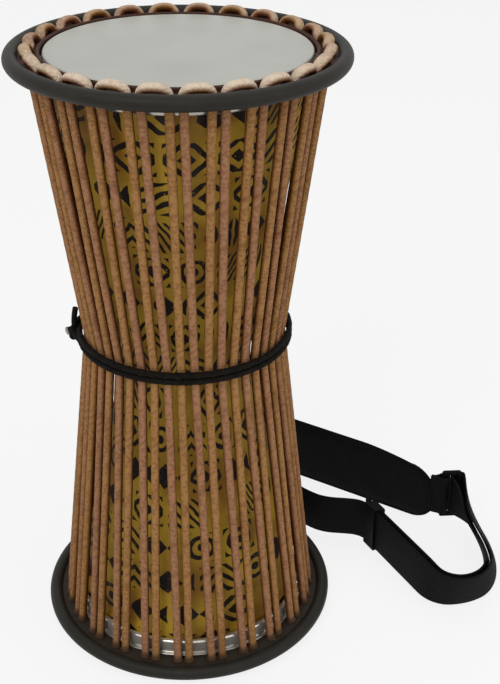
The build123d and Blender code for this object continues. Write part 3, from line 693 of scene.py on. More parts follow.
def run_tube(second, upper):
    """One half run of the first slot, as a mesh that is turned into every other place."""
    sizes = bpy.context.scene.drum_sizes
    rim_bearings = run_bearings(0, second)
    rim = on_bearing(CORD_RIM_R, rim_bearings[0 if upper else 2], at_depth(RUN_DEPTH, upper))
    waist = on_bearing(CORD_WAIST_R, rim_bearings[1], WAIST_Z)
    past = (waist - rim).normalized() * RUN_PAST_WAIST
    length = (waist + past - rim).length
    count = round(length * MM / sizes.cord_step)
    points = [rim + (waist + past - rim) * (index / count) for index in range(count + 1)]
    points.insert(1, rim + (waist - rim).normalized() * FOOT_RISE)
    bm = cord_bmesh()

    def flared(share):
        """A run swells where it comes out of its hole."""
        ring = round(share * (count + 1))
        swell = FOOT_SWELL[ring] if ring < len(FOOT_SWELL) else 1
        return swell, swell

    frames = frames_along(points, radial)
    swell_strands(add_tube(bm, frames, CORD_R, sizes.cord_sides, flared), frames, CORD_LAY, CORD_RELIEF)
    return to_mesh("run", bm)


def swell_strands(verts, frames, lay, depth):
    """Low spiral swells on a tube, so that a cord isn't a plain one."""
    sides = len(verts) // len(frames)
    for index, vert in enumerate(verts):
        matrix, along = frames[index // sides]
        local = matrix.inverted() @ vert.co
        turn = math.atan2(local.y, local.x)
        share = 1 - depth * (0.5 + 0.5 * math.sin(STRANDS * turn + along * 2 * math.pi / lay))
        vert.co = matrix @ Vector((local.x * share, local.y * share, local.z))


def add_turned_copy(bm, mesh, bearing, tone):
    """Add a copy of a mesh, turned about the drum's axis, with its cord tone."""
    start = len(bm.verts)
    bm.from_mesh(mesh)
    bm.verts.ensure_lookup_table()
    fresh = bm.verts[start:]
    layer = bm.verts.layers.float["tone"]
    for vert in fresh:
        vert[layer] = tone
    bmesh.ops.rotate(bm, cent=(0, 0, 0), matrix=Matrix.Rotation(math.radians(bearing), 3, "Z"), verts=fresh)


def cord_bmesh():
    bm = bmesh.new()
    bm.verts.layers.float.new("tone")
    bm.loops.layers.uv.verify()
    return bm


# Strap
PAD_WAY = Vector((math.sin(math.radians(PAD_BEARING)), math.cos(math.radians(PAD_BEARING)), 0))
PAD_END = LAY_FROM + PAD_FRONT
PAD_START = PAD_END - PAD_WAY * PAD_LENGTH
FRONT_WAY = Matrix.Rotation(math.radians(TAB_TURN), 3, "Z") @ PAD_WAY
BACK_WAY = -PAD_WAY
TAB_STEM, RING_PITCH, LOW_EDGE, LAYER_PITCH = 8.0, 13.0, 2.8, 5.0
WRAP_R, FOLD_R, KEEPER_TAIL = 6.6, 4.5, 9.0
FOLD_TURNS, WRAP_TURNS = range(-140, 141, 20), range(90, 271, 20)
# Half the distance between the middles of two sewn layers, and the gap between a web and what it lies on
SEWN_HALF, SEAT_GAP = WEB_THICK / 2 + 0.02, 0.2
# The lower web's way from the drum, along its straight and round its loop, from LAY_FROM at its lower edge
LEAD = [(-10.2, 23.5, 8.0), (12.8, 7.0, 3.6), (25.8, 2.0, LOW_EDGE), (39.8, 0.5, LOW_EDGE),
        (51.8, -1.5, LOW_EDGE)]
STRAIGHT = [(58.8, -7.0, LOW_EDGE), (98.8, -87.0, LOW_EDGE)]
LOOP = [(109.8, -99.0, LOW_EDGE), (125.8, -101.0, LOW_EDGE), (141.8, -95.0, LOW_EDGE),
        (152.8, -83.0, LOW_EDGE), (157.8, -66.0, LOW_EDGE), (158.8, -47.0, 3.5), (157.0, -28.0, 5.0),
        (154.3, -9.0, 7.5), (151.5, 6.0, 9.5)]
# How far the web leans out of the loop at each of these points, in degrees
LOOP_LEAN = (14, 20, 16, 2, -14, -26, -32, -29, -15)
# The upper web's way over the floor, from the back ring's second bar, with its turn in degrees
LIE = [(-22.8, 11.9, 25.0, 70), (-36.8, 14.4, 16.5, 45), (-50.8, 14.4, 8.5, 20), (-64.8, 12.4, 2.4, 3),
       (-78.8, 9.4, 3.6, 0), (-90.8, 6.4, 9.5, 0), (-98.8, 3.4, 20.0, 0), (-101.8, -1.6, 34.0, 0),
       (-100.8, -7.6, 56.0, 0)]
HANG_STEPS, HANG_CURVE = 6, 1.35
HEM_TAIL, HEM_STEM, HEM_FOOT, HEM_LIFT = 18.0, 10.0, 7.0, 0.9
# The runs that each anchor goes round: slot, and whether it is the slot's second run
LOWER_PAIR, UPPER_PAIR = ((11, False), (10, True)), ((12, False), (12, True))
LOWER_ANCHOR_Z, UPPER_ANCHOR_Z, ANCHOR_CLEAR = 25.0, 395.0, 0.8
LOWER_ANCHOR_REACH, ANCHOR_TAB_STEPS = 114.98 + 2.4, 8
# The web's first points on the lower anchor: how far to its side, and how far down
SEAT_STEPS = ((9, 0), (-10, 0), (-26, 2.5))


def bar_place(pad_end, way, number):
    return pad_end + way * (TAB_STEM + RING_PITCH * number)


def fold_points(bar, ahead, beside):
    """The way of a web round a ring's bar."""
    turns = [math.radians(turn) for turn in FOLD_TURNS]
    return [bar + ahead * (FOLD_R * math.cos(turn)) + beside * (FOLD_R * math.sin(turn)) for turn in turns]


def ribbon(route, widths, resolution):
    """A flat web between two splines, one for each edge."""
    halves = [direction.normalized() * (WEB_WIDTH / 2) for direction in widths]
    return web_between([spline_points([point + half * side for point, half in zip(route, halves)], resolution)
                        for side in (-1, 1)])


def upright_web(route, cyclic=False):
    return web_between([[point + UP * (side * WEB_WIDTH / 2) for point in route] for side in (-1, 1)], cyclic)


def web_between(rails, cyclic=False):
    """A flat web between two edges. UV holds metres across and along it."""
    bm = bmesh.new()
    uv = bm.loops.layers.uv.verify()
    pair = [bm.verts.new(rail[0]) for rail in rails]
    edge = bm.edges.new(pair)
    lengths, length = {pair[0]: 0.0, pair[1]: 0.0}, 0.0
    low_side = {pair[0]}
    for index in range(1, len(rails[0])):
        grown = bmesh.ops.extrude_edge_only(bm, edges=[edge])["geom"]
        fresh = [item for item in grown if isinstance(item, bmesh.types.BMVert)]
        length += sum((rail[index] - rail[index - 1]).length for rail in rails) / 2
        for vert in fresh:
            lower = any(link.other_vert(vert) in low_side for link in vert.link_edges
                        if link.other_vert(vert) not in fresh)
            vert.co = rails[0 if lower else 1][index]
            if lower:
                low_side.add(vert)
            lengths[vert] = length
        edge = next(item for item in grown if isinstance(item, bmesh.types.BMEdge)
                    and all(vert in fresh for vert in item.verts))
    for face in bm.faces:
        for loop in face.loops:
            loop[uv].uv = (0 if loop.vert in low_side else WEB_WIDTH * MM, lengths[loop.vert] * MM)
    if cyclic:
        bmesh.ops.remove_doubles(bm, verts=bm.verts, dist=1e-3)
    bmesh.ops.recalc_face_normals(bm, faces=bm.faces)
    return bm


def make_web(name, bm, node, thickness=WEB_THICK):
    """A woven piece with its thickness and soft edges."""
    piece = make_piece(name, bm, webbing_material(), node)
    solid = piece.modifiers.new("thickness", "SOLIDIFY")
    solid.thickness, solid.offset, solid.use_even_offset = thickness * MM, 0, True
    edge = piece.modifiers.new("soft_edge", "BEVEL")
    edge.width, edge.segments, edge.limit_method = WEB_BEVEL * MM, 2, "ANGLE"
    edge.angle_limit = math.radians(60)


def softened_copy(node, name, width, material, body):
    """A CAD node's shape with its sharp edges rounded over."""
    bm = bmesh.new()
    bm.from_mesh(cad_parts[node].data)
    bmesh.ops.scale(bm, vec=(1 / MM, 1 / MM, 1 / MM), verts=bm.verts)
    bmesh.ops.remove_doubles(bm, verts=bm.verts, dist=1e-3)
    bmesh.ops.dissolve_limit(bm, angle_limit=math.radians(1), verts=bm.verts, edges=bm.edges)
    sharp = [edge for edge in bm.edges if edge.is_manifold and edge.calc_face_angle() > math.radians(40)]
    bmesh.ops.bevel(bm, geom=sharp, offset=width, offset_type="OFFSET", affect="EDGES", segments=3,
                    profile=0.5, material=-1, clamp_overlap=True)
    make_piece(name, bm, material, node, body)


def anchor_frame(pairs, low):
    """Where an anchor loop sits: its facing, its side direction, and the runs' reach each way."""
    ends = []
    for slot, second in pairs:
        upper, waist, lower = run_bearings(slot, second)
        for z in (low, low + WEB_WIDTH):
            top = z > WAIST_Z
            rim = on_bearing(CORD_RIM_R, upper if top else lower, at_depth(RUN_DEPTH, top))
            bend = on_bearing(CORD_WAIST_R, waist, WAIST_Z)
            ends.append(bend + (rim - bend) * ((z - WAIST_Z) / (rim.z - WAIST_Z)))
    heart = sum(ends, Vector()) / len(ends)
    facing = Vector((heart.x, heart.y, 0)).normalized()
    beside = UP.cross(facing)
    clear = CORD_R + ANCHOR_CLEAR
    near = min(end.dot(facing) for end in ends) - clear
    far = max(end.dot(facing) for end in ends) + clear
    half = max(abs(end.dot(beside)) for end in ends) + clear
    return facing, beside, near, far, half, clear


def loop_route(facing, beside, near, far, half, corner, low):
    """A closed web path round a pair of runs."""
    grow = WEB_THICK / 2
    near, far, half, corner = near - grow, far + grow, half + grow, corner + grow
    middle = (near + far) / 2
    outline = [(middle, half), (near, half), (near, -half), (far, -half), (far, half), (middle, half)]
    eased = rounded(outline, corner, 6)
    base = UP * (low + WEB_WIDTH / 2)
    return [facing * out + beside * side + base for out, side in eased]


def add_stitches(bm, points, normal, step):
    """A row of stitches along a polyline, standing a little proud of the cloth."""
    for start, end in zip(points, points[1:]):
        run = end - start
        count = max(round(run.length / step), 1)
        travel = run.normalized()
        for index in range(count):
            middle = start + run * ((index + 0.5) / count)
            made = bmesh.ops.create_cube(bm, size=1)["verts"]
            turn = Matrix((travel, normal.cross(travel), normal)).transposed().to_4x4()
            size = Matrix.Diagonal((STITCH_LENGTH, STITCH_WIDTH, STITCH_RISE, 1))
            place = Matrix.Translation(middle) @ turn @ size
            bmesh.ops.transform(bm, matrix=place, verts=made)
            crown = [vert for vert in made if (vert.co - middle).dot(normal) > 0]
            bmesh.ops.scale(bm, vec=[STITCH_CROWN] * 3, verts=crown,
                            space=Matrix.Translation(-(middle + normal * STITCH_RISE / 2)))


# Operators
class DRUM_OT_shell(bpy.types.Operator):
    """Turn the hourglass shell"""
    bl_idname = "drum.shell"
    bl_label = "Shell"

    def execute(self, context):
        low, high = SHELL_EDGE_DEPTH, HEIGHT - SHELL_EDGE_DEPTH
        bevel = SHELL_EDGE_BEVEL
        outer = self.cones(SHELL_EDGE_R, SHELL_WAIST_R, low + bevel, high - bevel, SHELL_WAIST_ROUND)
        inner = self.cones(SHELL_EDGE_R - SHELL_WALL, SHELL_WAIST_R - SHELL_WALL, low, high,
                           SHELL_WAIST_ROUND + SHELL_WALL)
        brim = SHELL_EDGE_R - bevel
        outline = outer + [(brim, high)] + inner[::-1] + [(brim, low)]
        make_piece("printed_shell", turned(outline, True), shell_finish(), "shell")
        return {"FINISHED"}

    def cones(self, edge_r, waist_r, low, high, radius):
        """Two cones that meet at the waist in an arc, from the lower edge to the upper one."""
        meet = Vector((waist_r, SHELL_WAIST_Z))
        down, up = (Vector((edge_r, z)) - meet for z in (low, high))
        half = down.angle(up) / 2
        reach = radius / math.tan(half)
        centre = meet + (down.normalized() + up.normalized()).normalized() * (radius / math.sin(half))
        first, last = meet + down.normalized() * reach - centre, meet + up.normalized() * reach - centre
        swing = first.angle_signed(last)
        arc = []
        for index in range(WAIST_STEPS + 1):
            spoke = first.copy()
            spoke.rotate(Matrix.Rotation(-swing * index / WAIST_STEPS, 2))
            arc.append(tuple(centre + spoke))
        lower, upper = Vector((edge_r, low)), Vector((edge_r, high))
        return self.bowed(lower, Vector(arc[0]))[:-1] + arc + self.bowed(Vector(arc[-1]), upper)[1:]

    def bowed(self, start, end):
        """A cone's side, swelled a little outwards between its ends."""
        side = []
        for index in range(CONE_STEPS + 1):
            share = index / CONE_STEPS
            side.append(tuple(start.lerp(end, share) + Vector((SHELL_SWELL * math.sin(math.pi * share), 0))))
        return side


class DRUM_OT_heads(bpy.types.Operator):
    """Turn both heads: a film whose edge rolls over into a collar"""
    bl_idname = "drum.heads"
    bl_label = "Heads"

    def execute(self, context):
        material = film_finish()
        for end, top in ENDS:
            inner = COLLAR_R - FILM_THICK
            under = HEAD_DEPTH + FILM_THICK
            outside = rounded([(0, HEAD_DEPTH), (COLLAR_R, HEAD_DEPTH), (COLLAR_R, COLLAR_END)],
                              FILM_EASE_OUT, 5)
            inside = rounded([(inner, COLLAR_END), (inner, under), (0, under)], FILM_EASE_IN, 4)
            outline = [(radius, at_depth(depth, top)) for radius, depth in outside + inside]
            make_piece(end + "_film", turned(outline, False), material, end + "_head")
        return {"FINISHED"}


class DRUM_OT_flesh_hoops(bpy.types.Operator):
    """Turn the metal hoops that grip the heads"""
    bl_idname = "drum.flesh_hoops"
    bl_label = "Flesh hoops"

    def execute(self, context):
        material = metal_finish()
        for end, top in ENDS:
            middle = (HOOP_DEPTH + HOOP_END) / 2
            under = HOOP_DEPTH + HOOP_FLANGE
            path = [(HOOP_INNER_R, middle), (HOOP_INNER_R, HOOP_DEPTH), (HOOP_FLANGE_R, HOOP_DEPTH),
                    (HOOP_FLANGE_R, under), (HOOP_OUTER_R, under), (HOOP_OUTER_R, HOOP_END),
                    (HOOP_ROLL_R, HOOP_END), (HOOP_ROLL_R, HOOP_ROLL_DEPTH), (HOOP_INNER_R, HOOP_ROLL_DEPTH),
                    (HOOP_INNER_R, middle)]
            outline = [(radius, at_depth(depth, top)) for radius, depth in rounded(path, HOOP_EASE, 4)[:-1]]
            make_piece(end + "_hoop", turned(outline, True), material, end + "_flesh_hoop")
        return {"FINISHED"}


class DRUM_OT_counterhoops(bpy.types.Operator):
    """Finish the pierced counterhoops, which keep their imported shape"""
    bl_idname = "drum.counterhoops"
    bl_label = "Counterhoops"

    def execute(self, context):
        material = counterhoop_finish()
        for end, _ in ENDS:
            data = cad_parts[end + "_counterhoop"].data
            data.materials.clear()
            data.materials.append(material)
        return {"FINISHED"}


class DRUM_OT_rim_rings(bpy.types.Operator):
    """Turn the soft ring round each rim"""
    bl_idname = "drum.rim_rings"
    bl_label = "Rim rings"

    def execute(self, context):
        look = context.scene.drum_colours
        material = plain_finish("rim_rubber", look.rubber, 0.55, 1100, 0.00012, specular=0.22, worn=0.5)
        lip = math.asin(SLIT_HALF / RIM_TUBE_R)
        first, last = math.pi + lip, 3 * math.pi - lip
        for end, top in ENDS:
            outline = []
            for index in range(RIM_STEPS + 1):
                turn = first + (last - first) * index / RIM_STEPS
                depth = RIM_DEPTH + RIM_TUBE_R * math.sin(turn)
                outline.append((RIM_CENTRE_R + RIM_TUBE_R * math.cos(turn), at_depth(depth, top)))
            outline += [(SLIT_R, at_depth(RIM_DEPTH + side * SLIT_HALF, top)) for side in (1, -1)]
            make_piece(end + "_ring_tube", turned(outline, True), material, end + "_rim_ring")
        return {"FINISHED"}


class DRUM_OT_bights(bpy.types.Operator):
    """Lay the cord over each counterhoop, from slot to slot"""
    bl_idname = "drum.bights"
    bl_label = "Bights"

    def execute(self, context):
        # Bights: a painted highlight on their crowns, full at the front and half at the back, and no painted
        # shade at their feet.
        material = cord_finish("braid_with_painted_highlight", 0.5, 1.0, 0.0)
        sides = context.scene.drum_sizes.cord_sides
        for end, top in ENDS:
            if top:
                first, second = run_bearings(0, True)[0], run_bearings(1, False)[0]
            else:
                first, second = run_bearings(0, False)[2], run_bearings(0, True)[2]
            shoulder = (second - first) * BIGHT_SHOULDER
            route = [(first, 0, LEG_DEPTH), (first, 0, BIGHT_BEND),
                     (first + shoulder, BIGHT_BULGE, BIGHT_LIE), (second - shoulder, BIGHT_BULGE, BIGHT_LIE),
                     (second, 0, BIGHT_BEND), (second, 0, LEG_DEPTH)]
            points = spline_points([on_bearing(CORD_RIM_R + out, bearing, at_depth(depth, top))
                                    for bearing, out, depth in route], 6)
            heart = on_bearing(CORD_RIM_R, (first + second) / 2, at_depth(LEG_DEPTH + BIGHT_UNDER, top))
            bm = cord_bmesh()

            def flattened(share):
                """A bight is pressed wider and lower where it lies on the hoop."""
                lie = math.sin(math.pi * share) ** BIGHT_EASE
                return 1 - BIGHT_LOWER * lie, 1 + BIGHT_WIDER * lie

            add_tube(bm, frames_along(points, lambda point: point - heart), CORD_R, sides, flattened)
            template = to_mesh("bight", bm)
            lacing = cord_bmesh()
            for slot in range(BIGHTS):
                add_turned_copy(lacing, template, PITCH * slot, BIGHT_TONES[slot % 2])
            bpy.data.meshes.remove(template)
            make_piece(end + "_lacing", lacing, material, end + "_bights")
        return {"FINISHED"}


class DRUM_OT_runs(bpy.types.Operator):
    """Lace the runs from rim to rim; the side banks bend in with their bodies"""
    bl_idname = "drum.runs"
    bl_label = "Tension runs"

    def execute(self, context):
        # Runs: a faint painted highlight on their crowns, and painted shade at their feet.
        material = cord_finish("tension_braid", 0.1, 0.1, 0.85)
        halves = {(second, upper): run_tube(second, upper)
                  for second in (False, True) for upper in (False, True)}
        banks = {}
        for slot in range(BIGHTS):
            for second in (False, True):
                bearing = run_bearings(slot, second)[1]
                bank = bank_of(bearing)
                for upper in (False, True):
                    name = bank
                    if bank in ("left", "right"):
                        reach = "front" if math.cos(math.radians(bearing)) > 0 else "back"
                        name = f"{bank}_{'upper' if upper else 'lower'}_{reach}"
                    bm = banks.setdefault(name, cord_bmesh())
                    add_turned_copy(bm, halves[second, upper], PITCH * slot, tone_of(slot, second))
        for mesh in halves.values():
            bpy.data.meshes.remove(mesh)
        for name, bm in banks.items():
            words = name.split("_")
            if len(words) == 1:
                make_piece(name + "_runs", bm, material, name + "_cords")
                continue
            node = f"{words[0]}_{words[1]}"
            piece = make_piece(name + "_runs", bm, material, node + "_cords", None)
            bend_in(piece, node + "_bank", words[2])
        return {"FINISHED"}


# Metres from the side's middle line, where a bank's pull begins and where it is full
BEND_FROM, BEND_TO = 0.046, 0.012


def bend_in(piece, bank, reach):
    """Ease a piece from the still drum at a bank's edge to the moving bank at its middle."""
    sign = -1 if reach == "front" else 1
    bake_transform(piece, "drum", bank, start=(0, sign * BEND_FROM, 0), end=(0, sign * BEND_TO, 0))


def band_height(angle):
    share = min(max((angle - 360 + KNOT_CLIMB) / (2 * KNOT_CLIMB), 0), 1)
    return BAND_APART * (share * share * (3 - 2 * share) - 0.5)


def add_strands(bm, frames, radius):
    """A stretch of the black cord, with its strands."""
    swell_strands(add_tube(bm, frames, radius, BAND_SIDES, capped=False), frames, BAND_LAY, BAND_RELIEF)


class DRUM_OT_waist_cord(bpy.types.Operator):
    """Wind the black cord twice round the waist and knot it"""
    bl_idname = "drum.waist_cord"
    bl_label = "Waist cord"

    def execute(self, context):
        material = black_braid_finish()
        quarters = {"left_front": [], "left_back": [], "right_front": [], "right_back": []}
        start, end = KNOT_REACH - BAND_OVERLAP, 720 - KNOT_REACH + BAND_OVERLAP
        last = None
        for index in range(int((end - start) / BAND_STEP) + 1):
            angle = start + BAND_STEP * index
            point = on_bearing(BAND_R, KNOT_BEARING + angle, WAIST_Z + band_height(angle))
            name = ("right" if point.x > 0 else "left") + ("_front" if point.y < 0 else "_back")
            if name != last:
                if last:
                    quarters[last][-1].append(point)
                quarters[name].append([])
            quarters[name][-1].append(point)
            last = name
        for name, stretches in quarters.items():
            bm = bmesh.new()
            for points in stretches:
                add_strands(bm, frames_along(points, radial), BAND_CORD_R)
            piece = make_piece(name + "_band", bm, material, "waist_cord", None)
            side, reach = name.split("_")
            bend_in(piece, side + "_upper_bank", reach)
        self.tie_knot(material)
        return {"FINISHED"}

    def tie_knot(self, material):
        """An overhand knot, the two ends that enter it, and its two tails."""
        facing = on_bearing(1, KNOT_BEARING, 0)
        beside = UP.cross(facing)
        heart = on_bearing(KNOT_R, KNOT_BEARING, WAIST_Z)
        bm = bmesh.new()
        knot = []
        for index in range(KNOT_STEPS + 1):
            turn = 2 * math.pi * index / KNOT_STEPS
            knot.append(heart + beside * (KNOT_WIDE * (math.sin(turn) + 2 * math.sin(2 * turn)))
                        + UP * (KNOT_TALL * (math.cos(turn) - 2 * math.cos(2 * turn)) - KNOT_LOW)
                        + facing * (KNOT_OUT - KNOT_DEEP * math.sin(3 * turn)))
        add_strands(bm, frames_along(knot, lambda point: (point - heart) + facing * 0.01), KNOT_CORD_R)
        for sign, rise in ((1, -1), (-1, 1)):
            height = WAIST_Z + rise * BAND_APART / 2
            inner = on_bearing(BAND_R, KNOT_BEARING + sign * KNOT_REACH * 0.75, height)
            lift = on_bearing(BAND_R + ENTRY_LIFT, KNOT_BEARING + sign * KNOT_REACH * 0.4, height)
            end = heart + beside * (sign * 2.4) + UP * rise * 1.5
            entry = spline_points([inner, lift, end], 6)
            add_tube(bm, frames_along(entry, radial), BAND_CORD_R, TAIL_SIDES)
        up_end = heart + UP * TAIL_UP - facing * TAIL_LEAN
        tail_up = spline_points([heart, heart + UP * TAIL_UP / 2 + facing * 0.6, up_end], 8)
        add_tube(bm, frames_along(tail_up, lambda point: facing), BAND_CORD_R * 0.95, TAIL_SIDES)
        out_way = (facing - UP * TAIL_DROP).normalized()
        out_end = heart + out_way * TAIL_OUT
        tail_out = [heart, heart + out_way * 2, out_end]
        add_tube(bm, frames_along(tail_out, lambda point: UP), BAND_CORD_R * 1.2, TAIL_SIDES)
        make_piece("waist_knot", bm, material, "waist_cord", "left_upper_bank")
        tip = bmesh.new()
        tip_points = [out_end + out_way * reach for reach, _, _ in TIP_SHAPE]
        add_tube(tip, frames_along(tip_points, lambda point: UP), BAND_CORD_R, BAND_SIDES,
                 lambda share: TIP_SHAPE[round(share * (len(TIP_SHAPE) - 1))][1:])
        finish = plain_finish("sealed_tip", bpy.context.scene.drum_colours.tip, 0.5, 1200, 0.00008)
        make_piece("sealed_tip", tip, finish, "cord_tip", "left_upper_bank")


class DRUM_OT_pad(bpy.types.Operator):
    """Sew the shoulder pad: a crowned body with a bound edge and a row of stitches"""
    bl_idname = "drum.pad"
    bl_label = "Shoulder pad"

    def execute(self, context):
        look, sizes = context.scene.drum_colours, context.scene.drum_sizes
        middle = PAD_START + PAD_WAY * (PAD_LENGTH / 2) + UP * RING_Z
        outside = PAD_WAY.cross(UP)
        place = Matrix.Translation(middle) @ Matrix((PAD_WAY, UP, outside)).transposed().to_4x4()

        def half_length(height):
            over = max(abs(height) - (PAD_WIDTH / 2 - PAD_CORNER), 0)
            return PAD_LENGTH / 2 - PAD_CORNER + math.sqrt(max(PAD_CORNER ** 2 - over ** 2, 0))

        def drooped(length, height):
            """Lower the upper corner at the front end, where the tab pulls on it."""
            share = max(length / PAD_LENGTH + 0.5 - PAD_DROOP_FROM, 0) / (1 - PAD_DROOP_FROM)
            return height - PAD_DROOP * share ** PAD_DROOP_EASE * (0.5 + height / PAD_WIDTH)

        bm = bmesh.new()
        uv = bm.loops.layers.uv.verify()
        bmesh.ops.create_grid(bm, x_segments=70, y_segments=24, size=1)
        for face in bm.faces:
            for loop in face.loops:
                loop[uv].uv = (loop.vert.co.x * PAD_LENGTH / 2 * MM, loop.vert.co.y * PAD_WIDTH / 2 * MM)
        crown = {}
        for vert in bm.verts:
            height = math.sin(vert.co.y * math.pi / 2) * PAD_WIDTH / 2
            length = math.sin(vert.co.x * math.pi / 2) * half_length(height)
            over_x = half_length(height) - abs(length)
            over_y = PAD_WIDTH / 2 - abs(height)
            edge = min(over_x, over_y, PAD_CORNER)
            rise = 1 - (1 - min(edge / PAD_CROWN_REACH, 1)) ** PAD_CROWN_EASE
            ripple = PAD_RIPPLE * math.sin(length * 0.16 + height * 0.05) * math.sin(height * 0.11 + 0.6)
            crown[vert] = (PAD_THICK / 2 - 0.25) * rise * (0.94 + ripple) + 0.2
            vert.co = (length, drooped(length, height), 0)
        front = list(bm.verts)
        copied = bmesh.ops.duplicate(bm, geom=list(bm.verts) + list(bm.edges) + list(bm.faces))
        partner = {one: copied["vert_map"][one] for one in front}
        for vert in front:
            vert.co.z = crown[vert]
            partner[vert].co.z = -crown[vert]
        border = [edge for edge in bm.edges if edge.is_boundary]
        bmesh.ops.bridge_loops(bm, edges=border)
        bmesh.ops.recalc_face_normals(bm, faces=bm.faces)
        bmesh.ops.transform(bm, matrix=place, verts=bm.verts)
        cloth = woven_finish("pad_cloth", look.pad)
        pad = make_piece("shoulder_pad", bm, cloth, "strap_pad")
        outline = []
        corner = PAD_CORNER - BINDING_R
        reach_x, reach_y = PAD_LENGTH / 2 - PAD_CORNER, PAD_WIDTH / 2 - PAD_CORNER
        for sign_x, sign_y, start in ((1, 1, 0), (-1, 1, 90), (-1, -1, 180), (1, -1, 270)):
            centre = Vector((sign_x * reach_x, sign_y * reach_y, 0))
            for index in range(9):
                turn = math.radians(start + index * 11.25)
                point = centre + Vector((math.cos(turn), math.sin(turn), 0)) * corner
                point.y = drooped(point.x, point.y)
                outline.append(point)
        outline.append(outline[0].copy())
        path = [place @ point for point in outline]
        bm = bmesh.new()
        frames = frames_along(path, lambda point: outside)
        add_tube(bm, frames, BINDING_R, 10, lambda share: (1.35, 1), capped=False)
        make_piece("pad_binding", bm, webbing_material(), "strap_pad")
        bm = bmesh.new()
        shrunk = Vector((1 - STITCH_INSET / PAD_LENGTH, 1 - STITCH_INSET / PAD_WIDTH))
        for side in (1, -1):
            lane = [place @ Vector((point.x * shrunk.x, point.y * shrunk.y, side * STITCH_HEIGHT))
                    for point in outline]
            add_stitches(bm, lane, outside * side, sizes.stitch / MM)
        thread = plain_finish("thread", scaled_colour(look.pad, 1.6), 0.6, 2500, 0.00005, specular=0.15)
        make_piece("pad_stitches", bm, thread, "strap_pad")
        return {"FINISHED"}


class DRUM_OT_tabs(bpy.types.Operator):
    """Fold a sewn tab round the first bar of each ring"""
    bl_idname = "drum.tabs"
    bl_label = "Tabs"

    def execute(self, context):
        for end, pad_end, way in (("front", PAD_END, FRONT_WAY), ("back", PAD_START, BACK_WAY)):
            bar = bar_place(pad_end, way, 0) + UP * RING_Z
            into = PAD_WAY if way is FRONT_WAY else BACK_WAY
            sewn = UP.cross(into) * SEWN_HALF
            raised = pad_end + UP * RING_Z
            seam = [[raised + into * out + sewn * side for out in (-4, -1)] for side in (-1, 1)]
            route = seam[0] + fold_points(bar, way, UP.cross(way)) + seam[1][::-1]
            make_web(end + "_sewn_tab", ribbon(route, [UP] * len(route), 4), end + "_tab")
        return {"FINISHED"}


class DRUM_OT_fittings(bpy.types.Operator):
    """Round over the moulded rings and the keeper"""
    bl_idname = "drum.fittings"
    bl_label = "Rings and keeper"

    def execute(self, context):
        plastic = context.scene.drum_colours.plastic
        material = plain_finish("satin_plastic", plastic, 0.6, 900, 0.00003, specular=0.06)
        for node, name, width, body in (("front_ring", "front_strap_ring", 0.9, "front_ring"),
                                        ("back_ring", "back_strap_ring", 0.9, "drum"),
                                        ("webbing_keeper", "strap_keeper", 0.6, "keeper")):
            softened_copy(node, name, width, material, body)
        return {"FINISHED"}


class DRUM_OT_lower_webbing(bpy.types.Operator):
    """Run the long web from the lower anchor through the front ring and back"""
    bl_idname = "drum.lower_webbing"
    bl_label = "Lower webbing"

    def execute(self, context):
        lift = UP * (WEB_WIDTH / 2)
        facing, beside, *_ = anchor_frame(LOWER_PAIR, LOWER_ANCHOR_Z)
        seat = facing * (LOWER_ANCHOR_REACH + WEB_THICK * 1.5 + SEAT_GAP) + UP * LOWER_ANCHOR_Z + lift
        start = [seat + beside * step - UP * drop for step, drop in SEAT_STEPS]
        lead = [LAY_FROM + Vector(point) + lift for point in LEAD]
        first, last = (LAY_FROM + Vector(point) + lift for point in STRAIGHT)
        way = (last - first).normalized()
        straight = [first, first + way * 4, first + way * 30, last - way * 20, last]
        loop = [LAY_FROM + Vector(point) + lift for point in LOOP]
        centre = bar_place(PAD_END, FRONT_WAY, 1) + UP * RING_Z
        leave = loop[-1] - centre
        leave = Vector((leave.x, leave.y, 0)).normalized()
        wrap = [centre + Matrix.Rotation(math.radians(turn), 3, "Z") @ leave * WRAP_R for turn in WRAP_TURNS]
        route = straight + loop
        leans = [0] * len(straight) + list(LOOP_LEAN)
        outer, inner, upright = [], [], []
        for index, point in enumerate(route):
            before, after = route[max(index - 1, 0)], route[min(index + 1, len(route) - 1)]
            arriving = (point - before).normalized() if index else Vector()
            leaving = (after - point).normalized() if point is not route[-1] else Vector()
            inwards = UP.cross((arriving + leaving).normalized()).normalized()
            lean = math.radians(leans[index])
            lowered = UP * (WEB_WIDTH / 2 * (1 - math.cos(lean)))
            outer.append(point - lowered)
            inner.append(point - lowered + inwards * LAYER_PITCH)
            upright.append(UP * math.cos(lean) - inwards * math.sin(lean))
        inner[0] = first + UP.cross(way) * LAYER_PITCH - way * KEEPER_TAIL
        whole = start + lead + outer + wrap + inner[::-1]
        widths = [UP] * len(start + lead) + upright + [UP] * len(wrap) + upright[::-1]
        make_web("lower_web", ribbon(whole, widths, 5), "lower_webbing")
        return {"FINISHED"}


